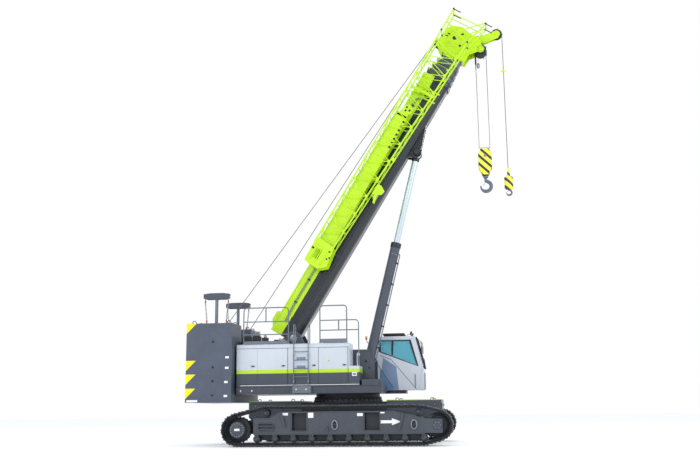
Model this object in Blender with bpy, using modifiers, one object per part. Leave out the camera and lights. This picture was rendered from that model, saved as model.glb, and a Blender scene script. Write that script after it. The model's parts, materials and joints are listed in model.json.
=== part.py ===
"""Crawler crane with a five-section telescopic boom.

Metres, +X towards the front, +Y to the left, +Z up. Shapes are drawn round the slew axis, which is
then set back so that the origin lies under the middle of the machine's box.
"""
import math

import bmesh
import bpy
from mathutils import Matrix, Vector

# ---- driving dimensions ---------------------------------------------------------------------------
GAP = 0.0003                      # between pieces that rest on each other
RUN = 0.006                       # round a piece that moves

# crawlers
TRACK_LENGTH = 7.40
TRACK_SHIFT = -0.05               # middle of the tracks, from the slew axis
TRACK_OUTER_Y = 2.70
SHOE_WIDTH = 0.80
TRACK_TOP = 1.29
BELT = 0.13                       # shoe and link together
SHOE_PITCH = 0.25
GROUSER = 0.022
SPROCKET_RADIUS = 0.53            # to the outside of the shoes
IDLER_RADIUS = 0.515
IDLER_LIFT = 0.12
FRAME_BOTTOM = 0.37
FRAME_TOP = 1.08
FRAME_INSET = 0.10                # shoe edge to the side frame, outside
FRAME_INNER_INSET = 0.12
ROLLER_COUNT = 10
ROLLER_RADIUS = 0.118

# lower works
BODY_HALF_LENGTH = 1.42
BODY_HALF_WIDTH = 1.05
BODY_BOTTOM = 0.45
BODY_TOP = 1.38
BEAM_OFFSET = 1.15                # crossbeam from the middle of the tracks
BEAM_WIDTH = 0.42
BEAM_BOTTOM = 0.50
BEAM_TOP = 1.00
BALLAST_END = 3.21
BALLAST_BOTTOM = 0.78
BALLAST_TOP = 1.43
RING_RADIUS = 1.12

# turntable
DECK_BOTTOM = 1.65
DECK_TOP = 1.905
DECK_REAR = -3.55
DECK_FRONT = 1.28
DECK_HALF_WIDTH = 1.48
STEP_TOP = 2.09                   # raised right front of the deck
CHEEK_INNER = 0.47                # boom foot plates
CHEEK_OUTER = 0.55
CHEEK_REAR = -5.05
WINCH_RADIUS = 0.38
DRUM_RADIUS = 0.28

# machinery houses
HOUSE_REAR = -3.54
HOUSE_FRONT = 0.26
LEFT_HOUSE_FRONT = -0.10
HOUSE_TOP = 3.285
HOUSE_INNER = 0.60
HOUSE_WALL = 0.05
LOCKER_FRONT = 0.583
LOCKER_TOP = 2.533
DOOR_BOTTOM = 1.97
DOOR_TOP = 3.15
DOOR_THICKNESS = 0.04

# counterweight
CW_REAR = -5.17
CW_FRONT = -3.61
CW_HALF_WIDTH = 1.85
CW_INNER = 0.66
CW_LEVELS = (1.40, 1.86, 2.32, 2.77, 4.00)
LIFT_X = -4.28
LIFT_Y = 1.40
LIFT_TOP = 5.06

# cab
CAB_REAR = 0.72
CAB_FRONT = 2.586
CAB_BOTTOM = 1.77
CAB_ROOF = 3.63
CAB_INNER = 0.56
CAB_OUTER = 1.49
CAB_WALL = 0.05
GLASS = 0.012

# boom, measured along its axis from the foot pin and square to it
BOOM_ANGLE = math.radians(58.5)
BOOM_PIN = Vector((-1.80, 0.0, 3.53))
BOOM_REAR = -0.13
BASE_END = 10.54
BOOM_BOTTOM = -0.115
BASE_WIDTH = 0.84
BASE_DEPTH = 1.02
SECTION_STEP = 0.09               # each section narrower and shallower by this
SECTION_WALL = 0.02
SECTION_SHOW = 0.25               # what shows of each inner section
HEAD_START = 11.55
HEAD_SHEAVE = (12.27, -0.41)
HEAD_SHEAVE_RADIUS = 0.20
SHEAVE_PITCH = 0.12
TIP_SHEAVE = (13.10, -0.59)
TIP_SHEAVE_RADIUS = 0.205
TIP_SHEAVE_WIDTH = 0.07
PIN_RADIUS = 0.10
FOOT_LENGTH = 0.22                # solid end of the base section round its foot pin

# luffing cylinder
LUFF_FOOT = Vector((0.645, 0.0, 2.36))
LUFF_PIN = (7.85, -0.31)          # along the boom and square to it
BARREL_LENGTH = 4.60
BARREL_RADIUS = 0.17
ROD_RADIUS = 0.11
BORE_RADIUS = 0.13
PISTON_START = 3.27               # from the foot pin, boom as shown
PISTON_LENGTH = 0.12

# stowed jib
JIB_NEAR = 1.12
JIB_FAR = 0.62
JIB_START = 3.3
JIB_BAYS = 12
JIB_BAY = 0.72
JIB_LOW = 0.08
JIB_HIGH = 1.20
JIB_BAR = 0.055

# hooks
ROPE_RADIUS = 0.012
GROOVE = 0.025                    # depth of a sheave's groove
BLOCK_TOP = 10.15
BLOCK_HEIGHT = 1.00
HOOK_TIP = 8.51
AUX_TOP = 9.40
AUX_TIP = 8.37

COLLECTION_NAME = "crawler_crane"


# ---- scene and helpers ----------------------------------------------------------------------------
for old in list(bpy.data.objects):
    bpy.data.objects.remove(old, do_unlink=True)

PARTS = bpy.data.collections.new(COLLECTION_NAME)
CUTTERS = bpy.data.collections.new("cutters")
bpy.context.scene.collection.children.link(PARTS)
bpy.context.scene.collection.children.link(CUTTERS)

ALONG_Y = Matrix(((1, 0, 0, 0), (0, 0, -1, 0), (0, 1, 0, 0), (0, 0, 0, 1)))
ALONG_X = Matrix(((0, 0, 1, 0), (1, 0, 0, 0), (0, 1, 0, 0), (0, 0, 0, 1)))
ALONG_Z = Matrix.Identity(4)
PLANES = {"X": ALONG_X, "Y": ALONG_Y, "Z": ALONG_Z}


def material(name, colour, roughness, metallic=0.0, alpha=1.0):
    """A Principled material in one colour."""
    made = bpy.data.materials.new(name)
    made.use_nodes = True
    shader = made.node_tree.nodes["Principled BSDF"]
    shader.inputs["Base Color"].default_value = (*colour, 1.0)
    shader.inputs["Roughness"].default_value = roughness
    shader.inputs["Metallic"].default_value = metallic
    shader.inputs["Alpha"].default_value = alpha
    return made


LIME = material("lime_paint", (0.55, 0.90, 0.0), 0.35)
SLATE = material("slate_paint", (0.10, 0.12, 0.15), 0.45)
SILVER = material("silver_paint", (0.72, 0.75, 0.80), 0.35)
CHARCOAL = material("charcoal_steel", (0.05, 0.055, 0.065), 0.6)
WEIGHT = material("weight_paint", (0.13, 0.15, 0.18), 0.5)
CHROME = material("rod_chrome", (0.75, 0.80, 0.84), 0.2, 0.9)
GALVANISED = material("galvanised_tube", (0.45, 0.50, 0.54), 0.4, 0.6)
YELLOW = material("hook_yellow", (0.95, 0.85, 0.02), 0.4)
GLAZING = material("tinted_glass", (0.15, 0.45, 0.50), 0.05, 0.0, 0.35)
TRIM = material("seat_trim", (0.03, 0.03, 0.035), 0.8)
ROPE = material("wire_rope", (0.35, 0.37, 0.40), 0.5, 0.8)


def empty(name, place, parent=None):
    """The frame of a body, on its joint's axis."""
    made = bpy.data.objects.new(name, None)
    PARTS.objects.link(made)
    made.matrix_world = Matrix.Translation(place)
    if parent is not None:
        attach(made, parent)
    return made


def attach(thing, parent):
    """Parent a thing without moving it."""
    bpy.context.view_layer.update()
    world = thing.matrix_world.copy()
    thing.parent = parent
    thing.matrix_parent_inverse = parent.matrix_world.inverted()
    thing.matrix_world = world


def new_object(name, mesh, place=None):
    made = bpy.data.objects.new(name, mesh)
    PARTS.objects.link(made)
    if place is not None:
        made.matrix_world = place
    return made


def tidy_mesh(thing):
    """Weld a mesh's loose caps and point its faces out."""
    shape = bmesh.new()
    shape.from_mesh(thing.data)
    bmesh.ops.remove_doubles(shape, verts=shape.verts, dist=0.00001)
    bmesh.ops.recalc_face_normals(shape, faces=shape.faces)
    shape.to_mesh(thing.data)
    shape.free()


def box(low, high, place=None, name="box"):
    """A box between two corners."""
    shape = bmesh.new()
    size = [b - a for a, b in zip(low, high)]
    middle = [(a + b) / 2 for a, b in zip(low, high)]
    bmesh.ops.create_cube(shape, size=1.0, matrix=Matrix.Translation(middle) @ Matrix.Diagonal((*size, 1)))
    mesh = bpy.data.meshes.new(name)
    shape.to_mesh(mesh)
    shape.free()
    return new_object(name, mesh, place)


def rod(start, end, radius, sides=16, place=None, name="rod"):
    """A round bar between two points."""
    start, end = Vector(start), Vector(end)
    axis = end - start
    turn = axis.to_track_quat("Z", "Y").to_matrix().to_4x4()
    shape = bmesh.new()
    bmesh.ops.create_cone(shape, cap_ends=True, segments=sides, radius1=radius, radius2=radius,
                          depth=axis.length, matrix=Matrix.Translation((start + end) / 2) @ turn)
    mesh = bpy.data.meshes.new(name)
    shape.to_mesh(mesh)
    shape.free()
    made = new_object(name, mesh, place)
    made.data.shade_smooth()
    made.data.set_sharp_from_angle(angle=math.radians(40))
    return made


def from_curve(curve, turn, place, name):
    """The welded mesh of a curve, turned into the machine."""
    drawn = bpy.data.objects.new(name, curve)
    PARTS.objects.link(drawn)
    bpy.context.view_layer.update()
    seen = drawn.evaluated_get(bpy.context.evaluated_depsgraph_get())
    mesh = bpy.data.meshes.new_from_object(seen)
    mesh.transform(turn)
    bpy.data.objects.remove(drawn, do_unlink=True)
    made = new_object(name, mesh, place)
    tidy_mesh(made)
    return made


def prism(outline, axis, low, high, holes=(), place=None, name="prism"):
    """A flat outline with holes, given its thickness along one axis."""
    curve = bpy.data.curves.new(name, "CURVE")
    curve.dimensions = "2D"
    curve.fill_mode = "BOTH"
    curve.extrude = (high - low) / 2
    for loop in (outline, *holes):
        spline = curve.splines.new("POLY")
        spline.points.add(len(loop) - 1)
        for point, (u, v) in zip(spline.points, loop):
            point.co = (u, v, 0.0, 1.0)
        spline.use_cyclic_u = True
    middle = (low + high) / 2
    shift = {"X": (middle, 0, 0), "Y": (0, middle, 0), "Z": (0, 0, middle)}[axis]
    return from_curve(curve, Matrix.Translation(shift) @ PLANES[axis], place, name)


def tube(points, radius, place=None, cyclic=False, resolution=1, name="tube"):
    """A bent tube through some points."""
    curve = bpy.data.curves.new(name, "CURVE")
    curve.dimensions = "3D"
    curve.bevel_depth = radius
    curve.bevel_resolution = resolution
    curve.use_fill_caps = True
    spline = curve.splines.new("POLY")
    spline.points.add(len(points) - 1)
    for point, place_at in zip(spline.points, points):
        point.co = (*place_at, 1.0)
    spline.use_cyclic_u = cyclic
    return from_curve(curve, Matrix.Identity(4), place, name)


def turned(profile, centre, axis="Y", sides=32, place=None, name="turned"):
    """A turned shape: its profile runs down the outer side, as (radius, height)."""
    mesh = bpy.data.meshes.new(name)
    shape = bmesh.new()
    corners = [shape.verts.new((radius, 0, height)) for radius, height in profile]
    for first, second in zip(corners, corners[1:]):
        shape.edges.new((first, second))
    if profile[0][0] > 0:
        shape.edges.new((corners[-1], corners[0]))
    shape.to_mesh(mesh)
    shape.free()
    turn = {"Y": Matrix.Rotation(-math.pi / 2, 4, "X"), "Z": Matrix.Identity(4)}[axis]
    here = Matrix.Translation(centre) @ turn
    made = new_object(name, mesh, here if place is None else place @ here)
    screw = made.modifiers.new("turn", "SCREW")
    screw.angle = math.tau
    screw.steps = sides
    screw.render_steps = sides
    screw.use_merge_vertices = True
    screw.merge_threshold = 0.00005
    return made


def cut(thing, *cutters):
    """Take cutters out of a thing."""
    for cutter in cutters:
        blade = thing.modifiers.new("cut", "BOOLEAN")
        blade.operation = "DIFFERENCE"
        blade.object = hide(cutter, thing)
    return thing


def join(thing, *others):
    """Make one solid of a thing and the others that overlap it."""
    for other in others:
        weld = thing.modifiers.new("join", "BOOLEAN")
        weld.operation = "UNION"
        weld.object = hide(other, thing)
    return thing


def hide(cutter, owner):
    """Put a piece used only by a boolean away with the cutters."""
    PARTS.objects.unlink(cutter)
    CUTTERS.objects.link(cutter)
    cutter.name = "cutter_" + cutter.name
    cutter.hide_render = True
    cutter.display_type = "WIRE"
    attach(cutter, owner)
    return cutter


def part(name, thing, finish, body):
    """Name a finished piece, give it its material and hang it on its body."""
    thing.name = name
    thing.data.materials.clear()
    thing.data.materials.append(finish)
    attach(thing, body)
    return thing


def arc(centre, radius, start, end, count):
    """Points of an arc, angles in degrees."""
    angles = [math.radians(start + (end - start) * i / count) for i in range(count + 1)]
    return [(centre[0] + radius * math.cos(a), centre[1] + radius * math.sin(a)) for a in angles]


def mirrored(side, low, high):
    """A low and a high |Y| put on one side of the machine, in rising order."""
    return sorted((side * low, side * high))


# ---- bodies ---------------------------------------------------------------------------------------
BOOM_FRAME = Matrix.Translation(BOOM_PIN) @ Matrix.Rotation(-BOOM_ANGLE, 4, "Y")


def on_boom(along, square, y=0.0):
    """Where a point of the boom's own frame lies in the machine."""
    return BOOM_FRAME @ Vector((along, y, square))


def section_front(index):
    """How far the front end of a section reaches, index 0 being the base."""
    return BASE_END + index * SECTION_SHOW


MACHINE = empty("machine", (0, 0, 0))
UNDERCARRIAGE = empty("undercarriage_frame", (0, 0, 0), MACHINE)
CRAWLERS = {side: empty(f"crawler_frame_{label}", (TRACK_SHIFT, side * TRACK_OUTER_Y, 0), UNDERCARRIAGE)
            for side, label in ((-1, "right"), (1, "left"))}
TURNTABLE = empty("slew_frame", (0, 0, DECK_BOTTOM), UNDERCARRIAGE)
CAB_PIVOT = Vector((CAB_REAR, 0, CAB_BOTTOM))
CAB = empty("cab_frame", CAB_PIVOT, TURNTABLE)
CAB_DOOR = empty("cab_door_frame", CAB_PIVOT, CAB)
BOOM = empty("boom_frame", BOOM_PIN, TURNTABLE)
SECTIONS = [BOOM]
for number in range(2, 6):
    SECTIONS.append(empty(f"section_frame_{number}", on_boom(section_front(number - 1), 0), SECTIONS[-1]))
LUFF_ROD = empty("luff_rod_frame", on_boom(*LUFF_PIN), BOOM)
LUFF_BARREL = empty("luff_barrel_frame", LUFF_FOOT, LUFF_ROD)
MAIN_LINE = empty("main_line_frame", on_boom(*HEAD_SHEAVE), SECTIONS[-1])
MAIN_HOOK = empty("main_hook_frame", on_boom(*HEAD_SHEAVE), MAIN_LINE)
AUX_LINE = empty("aux_line_frame", on_boom(*TIP_SHEAVE), SECTIONS[-1])
AUX_HOOK = empty("aux_hook_frame", on_boom(*TIP_SHEAVE), AUX_LINE)


# ---- lower works ----------------------------------------------------------------------------------
def car_body():
    half = BODY_HALF_LENGTH
    body = prism([(-half, BODY_BOTTOM + 0.2), (-half + 0.25, BODY_BOTTOM), (half - 0.25, BODY_BOTTOM),
                  (half, BODY_BOTTOM + 0.2), (half, BODY_TOP), (-half, BODY_TOP)],
                 "Y", -BODY_HALF_WIDTH, BODY_HALF_WIDTH)
    beam_end = TRACK_OUTER_Y - FRAME_INSET - 0.15
    beams = [box((x - BEAM_WIDTH / 2, -beam_end, BEAM_BOTTOM), (x + BEAM_WIDTH / 2, beam_end, BEAM_TOP))
             for x in (TRACK_SHIFT - BEAM_OFFSET, TRACK_SHIFT + BEAM_OFFSET)]
    seat = rod((0, 0, BODY_TOP - 0.05), (0, 0, BALLAST_TOP), RING_RADIUS + 0.06, 32)
    part("car_body", join(body, *beams, seat), CHARCOAL, UNDERCARRIAGE)


def ballast_box(name, side):
    near, far = BODY_HALF_LENGTH + GAP, BALLAST_END
    outline = [(near, BALLAST_BOTTOM), (far - 0.12, BALLAST_BOTTOM), (far, BALLAST_BOTTOM + 0.12),
               (far, BALLAST_TOP), (near, BALLAST_TOP)]
    outline = [(side * x, z) for x, z in outline]
    part(name, prism(outline, "Y", -BODY_HALF_WIDTH, BODY_HALF_WIDTH), SLATE, UNDERCARRIAGE)


def slew_ring():
    inner = RING_RADIUS - 0.20
    top, bottom = DECK_BOTTOM - GAP, BALLAST_TOP + GAP
    profile = [(RING_RADIUS - 0.03, top), (RING_RADIUS - 0.03, top - 0.09), (RING_RADIUS, top - 0.09),
               (RING_RADIUS, bottom), (inner, bottom), (inner, top)]
    part("slew_ring", turned(profile, (0, 0, 0), "Z", 40), CHARCOAL, UNDERCARRIAGE)


# ---- crawlers -------------------------------------------------------------------------------------
REAR_WHEEL = (TRACK_SHIFT - TRACK_LENGTH / 2 + SPROCKET_RADIUS + GROUSER, SPROCKET_RADIUS)
FRONT_WHEEL = (TRACK_SHIFT + TRACK_LENGTH / 2 - IDLER_RADIUS - GROUSER, IDLER_RADIUS + IDLER_LIFT)
CARRIER_RADIUS = 0.11
WRAP_STEP = 0.22                  # angle of each flat inside the track, radians
PLATE = 0.10                      # drive arm and idler fork
CARRIER_WRAP = CARRIER_RADIUS + BELT + GAP
REAR_CARRIER = (REAR_WHEEL[0] + 0.90, TRACK_TOP - CARRIER_WRAP)
FRONT_CARRIER = (FRONT_WHEEL[0] - 0.58, TRACK_TOP - CARRIER_WRAP)
PLATE_REACH = (SHOE_WIDTH - FRAME_INSET - FRAME_INNER_INSET) / 2 - PLATE
LAST_ROLLER = (FRONT_WHEEL[0] - 0.42, ROLLER_RADIUS + BELT)


def belt_corners():
    """The wheels that the track goes round, anticlockwise from the rear, with outer radii."""
    return [(*REAR_WHEEL, SPROCKET_RADIUS), (*LAST_ROLLER, ROLLER_RADIUS + BELT),
            (*FRONT_WHEEL, IDLER_RADIUS), (*FRONT_CARRIER, CARRIER_WRAP), (*REAR_CARRIER, CARRIER_WRAP)]


def belt_pieces(shrink):
    """Straight and round pieces of the belt line, as lengths and functions of the distance."""
    wheels = [(x, z, radius - shrink) for x, z, radius in belt_corners()]
    tangents = []
    for (x0, z0, r0), (x1, z1, r1) in zip(wheels, wheels[1:] + wheels[:1]):
        span = math.hypot(x1 - x0, z1 - z0)
        heading = math.atan2(z1 - z0, x1 - x0)
        tangents.append((heading - math.acos((r0 - r1) / span), span, r0, r1))
    pieces = []
    for index, (x, z, radius) in enumerate(wheels):
        enters, leaves = tangents[index - 1][0], tangents[index][0]
        sweep = (leaves - enters) % math.tau
        pieces.append((sweep * radius, ("arc", x, z, radius, enters, sweep)))
        next_x, next_z, next_radius = wheels[(index + 1) % len(wheels)]
        start = (x + radius * math.cos(leaves), z + radius * math.sin(leaves))
        end = (next_x + next_radius * math.cos(leaves), next_z + next_radius * math.sin(leaves))
        pieces.append((math.dist(start, end), ("line", start, end, leaves)))
    return pieces


def belt_point(pieces, distance, lift=0.0):
    """A point at a distance along the belt, lifted off it."""
    for length, piece in pieces:
        if distance <= length:
            break
        distance -= length
    share = min(distance / length, 1.0)
    if piece[0] == "arc":
        _, x, z, radius, enters, sweep = piece
        angle = enters + sweep * share
        return (x + (radius + lift) * math.cos(angle), z + (radius + lift) * math.sin(angle))
    _, start, end, out = piece
    x = start[0] + (end[0] - start[0]) * share + lift * math.cos(out)
    z = start[1] + (end[1] - start[1]) * share + lift * math.sin(out)
    return (x, z)


def track_outline():
    """The outer side of the track with its shoes."""
    pieces = belt_pieces(0.0)
    length = sum(piece[0] for piece in pieces)
    count = round(length / SHOE_PITCH)
    pitch = length / count
    points = []
    for shoe in range(count):
        for share, lift in ((0.0, -GROUSER), (0.10, 0.0), (0.82, 0.0), (0.92, -GROUSER)):
            points.append(belt_point(pieces, (shoe + share) * pitch, lift))
    return points


def track_inside():
    """The inner side of the track."""
    pieces = belt_pieces(BELT)
    points = []
    for _, piece in pieces:
        if piece[0] == "arc":
            _, x, z, radius, enters, sweep = piece
            count = math.ceil(sweep / WRAP_STEP)
            points += [(x + radius * math.cos(enters + sweep * i / count),
                        z + radius * math.sin(enters + sweep * i / count)) for i in range(count + 1)]
    return points


def track(name, side):
    low, high = mirrored(side, TRACK_OUTER_Y - SHOE_WIDTH, TRACK_OUTER_Y)
    part(name, prism(track_outline(), "Y", low, high, [track_inside()]), CHARCOAL, CRAWLERS[side])


def side_frame(name, side):
    """Box frame with a window over each crossbeam, fork plates at the idler and an arm at the drive."""
    outer = TRACK_OUTER_Y - FRAME_INSET
    inner = TRACK_OUTER_Y - SHOE_WIDTH + FRAME_INNER_INSET
    rear, front = REAR_WHEEL[0] + 0.53, FRONT_WHEEL[0] - 0.41
    outline = [(rear, FRAME_BOTTOM), (front, FRAME_BOTTOM), (front, FRAME_TOP - 0.22),
               (1.75, FRAME_TOP), (-1.80, FRAME_TOP), (-2.15, FRAME_TOP - 0.19), (rear, FRAME_TOP - 0.19)]
    windows = []
    for x in (TRACK_SHIFT - BEAM_OFFSET, TRACK_SHIFT + BEAM_OFFSET):
        half = BEAM_WIDTH / 2 + 0.02
        low, high = BEAM_BOTTOM - GAP, BEAM_TOP + 0.03
        windows.append([(x - half, low), (x + half, low), (x + half, high), (x - half, high)])
    frame = prism(outline, "Y", *mirrored(side, inner, outer), windows)
    fork = [(front - 0.10, FRAME_BOTTOM + 0.03), (FRONT_WHEEL[0] + 0.16, FRAME_BOTTOM + 0.03),
            (FRONT_WHEEL[0] + 0.16, FRAME_TOP - 0.26), (front - 0.10, FRAME_TOP - 0.24)]
    plates = [prism(fork, "Y", *mirrored(side, *pair))
              for pair in ((inner + 0.001, inner + PLATE), (outer - PLATE, outer - 0.001))]
    drive = [(REAR_WHEEL[0] - 0.20, REAR_WHEEL[1] - 0.15), (rear + 0.10, FRAME_BOTTOM + 0.02),
             (rear + 0.10, FRAME_TOP - 0.21), (REAR_WHEEL[0] - 0.20, REAR_WHEEL[1] + 0.22)]
    arm = prism(drive, "Y", *mirrored(side, inner + 0.001, inner + PLATE))
    carriers = []
    middle = (inner + outer) / 2
    for x, z in (REAR_CARRIER, FRONT_CARRIER):
        low, high = mirrored(side, middle - 0.16, middle + 0.16)
        carriers.append(rod((x, low, z), (x, high, z), CARRIER_RADIUS, 16))
        low, high = mirrored(side, middle - 0.05, middle + 0.05)
        carriers.append(box((x - 0.07, low, FRAME_TOP - 0.40), (x + 0.07, high, z)))
    part(name, join(frame, *plates, arm, *carriers), SLATE, CRAWLERS[side])


def wheel(name, side, centre, wrap, half, hub_radius, hub_reach, plate):
    """A sprocket or idler inside the track's wrap, its hub reaching back to the frame's plate."""
    middle = TRACK_OUTER_Y - (FRAME_INSET + SHOE_WIDTH - FRAME_INNER_INSET) / 2
    radius = (wrap - BELT) * math.cos(WRAP_STEP / 2) - GAP
    near = GAP - plate
    profile = [(0, hub_reach), (hub_radius, hub_reach), (hub_radius, half - 0.03),
               (radius - 0.10, half - 0.03), (radius - 0.09, half), (radius, half - 0.04),
               (radius, 0.04 - half), (radius - 0.09, -half), (0.16, -half), (0.16, near), (0, near)]
    wheel_piece = turned(profile, (0, 0, 0), "Y", 28)
    spin = Matrix.Identity(4) if side > 0 else Matrix.Rotation(math.pi, 4, "Z")
    wheel_piece.matrix_world = Matrix.Translation((centre[0], side * middle, centre[1])) @ spin @ \
        Matrix.Rotation(-math.pi / 2, 4, "X")
    part(name, wheel_piece, CHARCOAL, CRAWLERS[side])


def rollers(name, side):
    """The bottom rollers, joined by the rail that carries them under the frame."""
    middle = TRACK_OUTER_Y - (FRAME_INSET + SHOE_WIDTH - FRAME_INNER_INSET) / 2
    first, last = REAR_WHEEL[0] + 0.62, LAST_ROLLER[0]
    low, high = mirrored(side, middle - 0.06, middle + 0.06)
    height = BELT + GAP + ROLLER_RADIUS
    rail = box((first - 0.08, low, height - 0.05), (last + 0.08, high, FRAME_BOTTOM - GAP))
    low, high = mirrored(side, middle - 0.20, middle + 0.20)
    wheels = []
    for index in range(ROLLER_COUNT):
        x = first + (last - first) * index / (ROLLER_COUNT - 1)
        wheels.append(rod((x, low, height), (x, high, height), ROLLER_RADIUS, 10))
    part(name, join(rail, *wheels), CHARCOAL, CRAWLERS[side])


# ---- turntable ------------------------------------------------------------------------------------
def turntable_frame():
    """Deck, boom cheeks, cylinder lugs and cab arms as one weldment."""
    wide = DECK_HALF_WIDTH
    deck = prism([(DECK_REAR, -wide), (DECK_FRONT, -wide), (DECK_FRONT, CHEEK_OUTER), (0.62, CHEEK_OUTER),
                  (0.62, wide), (DECK_REAR, wide)], "Z", DECK_BOTTOM, DECK_TOP)
    step = box((HOUSE_FRONT + 0.40, -wide + 0.001, DECK_TOP - 0.05), (DECK_FRONT - 0.001, -CHEEK_OUTER + 0.01,
                                                                    STEP_TOP))
    low = CW_LEVELS[1] + GAP
    lug = arc((BOOM_PIN.x, BOOM_PIN.z), 0.27, 20, 160, 8)
    cheek = [(CHEEK_REAR, low), (0.98, low), (0.98, 2.75), (0.80, 3.12), (0.30, 3.12), (-1.30, 3.12), *lug,
             (-2.30, 3.46), (-3.10, 3.46), (CHEEK_REAR + 0.05, 3.46), (CHEEK_REAR, 3.30)]
    cheeks = [prism(cheek, "Y", *mirrored(side, CHEEK_INNER, CHEEK_OUTER)) for side in (-1, 1)]
    foot = [(LUFF_FOOT.x - 0.34, DECK_TOP - 0.05), (LUFF_FOOT.x + 0.26, DECK_TOP - 0.05),
            *arc((LUFF_FOOT.x, LUFF_FOOT.z), 0.19, -10, 190, 6)]
    lugs = [prism(foot, "Y", *mirrored(side, 0.20, 0.26)) for side in (-1, 1)]
    rear = box((CHEEK_REAR + 0.10, -CHEEK_INNER - 0.02, low + 0.02), (CHEEK_REAR + 0.20, CHEEK_INNER + 0.02, 2.60))
    waist = box((-2.75, -CHEEK_INNER - 0.02, DECK_TOP - 0.05), (-2.65, CHEEK_INNER + 0.02, 2.95))
    arms = box((0.50, 0.72, DECK_BOTTOM + 0.01), (1.95, 1.33, CAB_BOTTOM - GAP))
    part("turntable_frame", join(deck, step, *cheeks, *lugs, rear, waist, arms), SLATE, TURNTABLE)


def house_shell(side, rear, front):
    """An open-bottomed box with walls, on one side of the deck."""
    low, high = mirrored(side, HOUSE_INNER, DECK_HALF_WIDTH)
    base = DECK_TOP + GAP
    shell = box((rear, low, base), (front, high, HOUSE_TOP))
    wall = HOUSE_WALL
    hollow = box((rear + wall, low + wall, base - 0.1), (front - wall, high - wall, HOUSE_TOP - wall))
    return cut(shell, hollow)


def door_opening(side, rear, front):
    """What is cut out of a house wall for a door hinged at its rear edge."""
    low, high = mirrored(side, DECK_HALF_WIDTH - 0.1, DECK_HALF_WIDTH + 0.1)
    return box((rear, low, DOOR_BOTTOM), (front, high, DOOR_TOP))


def service_door(name, side, rear, front):
    low, high = mirrored(side, DECK_HALF_WIDTH - DOOR_THICKNESS, DECK_HALF_WIDTH)
    hinge = empty(name + "_frame", (rear, side * DECK_HALF_WIDTH, DOOR_BOTTOM), TURNTABLE)
    leaf = box((rear + GAP, low, DOOR_BOTTOM + RUN), (front - RUN, high, DOOR_TOP - RUN))
    part(name, leaf, SILVER, hinge)


RIGHT_DOORS = {"rear_service_door": (-3.48, -2.83), "middle_service_door": (-2.79, -1.81),
               "front_service_door": (-0.76, 0.20)}
LEFT_DOORS = {"left_service_door": (-2.70, -1.75)}


def houses():
    shell = house_shell(-1, HOUSE_REAR, HOUSE_FRONT)
    cut(shell, *[door_opening(-1, *span) for span in RIGHT_DOORS.values()])
    locker = box((HOUSE_FRONT - 0.02, -DECK_HALF_WIDTH + 0.001, DECK_TOP + 2 * GAP),
                 (LOCKER_FRONT, -HOUSE_INNER - 0.001, LOCKER_TOP))
    part("right_house", join(shell, locker), SILVER, TURNTABLE)
    left = house_shell(1, HOUSE_REAR, LEFT_HOUSE_FRONT)
    cut(left, *[door_opening(1, *span) for span in LEFT_DOORS.values()])
    part("left_house", left, SILVER, TURNTABLE)
    for name, span in RIGHT_DOORS.items():
        service_door(name, -1, *span)
    for name, span in LEFT_DOORS.items():
        service_door(name, 1, *span)
    engine = box((-2.75, -1.34, DECK_TOP + GAP), (-0.95, -0.74, DECK_TOP + 1.05))
    part("engine_block", engine, CHARCOAL, TURNTABLE)


def counterweight():
    names = ("lower", "middle", "upper")
    slab = box((CW_REAR, -CW_HALF_WIDTH, CW_LEVELS[0]), (CW_FRONT, CW_HALF_WIDTH, CW_LEVELS[1]))
    part("counterweight_base", slab, WEIGHT, TURNTABLE)
    for side, label in ((-1, "right"), (1, "left")):
        for name, base, top in zip(names, CW_LEVELS[1:], CW_LEVELS[2:]):
            low, high = mirrored(side, CW_INNER, CW_HALF_WIDTH)
            block = box((CW_REAR, low, base + GAP), (CW_FRONT, high, top))
            part(f"{label}_{name}_counterweight", block, WEIGHT, TURNTABLE)
        beam = [(-0.45, LIFT_TOP - 0.17), (-0.38, LIFT_TOP - 0.20), (0.38, LIFT_TOP - 0.20),
                (0.45, LIFT_TOP - 0.17), (0.45, LIFT_TOP - 0.10), (0.06, LIFT_TOP), (-0.06, LIFT_TOP),
                (-0.45, LIFT_TOP - 0.10)]
        beam = [(LIFT_X + x, z) for x, z in beam]
        y = side * LIFT_Y
        lift = join(prism(beam, "Y", y - 0.07, y + 0.07),
                    rod((LIFT_X, y, CW_LEVELS[-1] + GAP), (LIFT_X, y, LIFT_TOP - 0.12), 0.055, 16))
        part(f"{label}_counterweight_lift", lift, GALVANISED, TURNTABLE)


def winch(name, x, z):
    reach = CHEEK_INNER - GAP
    profile = [(0, reach), (WINCH_RADIUS, reach), (WINCH_RADIUS, reach - 0.04), (DRUM_RADIUS, reach - 0.05),
               (DRUM_RADIUS, 0.05 - reach), (WINCH_RADIUS, 0.04 - reach), (WINCH_RADIUS, -reach), (0, -reach)]
    part(name, turned(profile, (x, 0, z), "Y", 28), CHARCOAL, TURNTABLE)


def bent(points, radius=0.12, count=3):
    """A path with its inner corners rounded."""
    points = [Vector(point) for point in points]
    path = [points[0]]
    for before, corner, after in zip(points, points[1:], points[2:]):
        start = corner + (before - corner).normalized() * radius
        end = corner + (after - corner).normalized() * radius
        for index in range(count + 1):
            share = index / count
            path.append(start.lerp(corner, share).lerp(corner.lerp(end, share), share))
    return path + [points[-1]]


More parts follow.
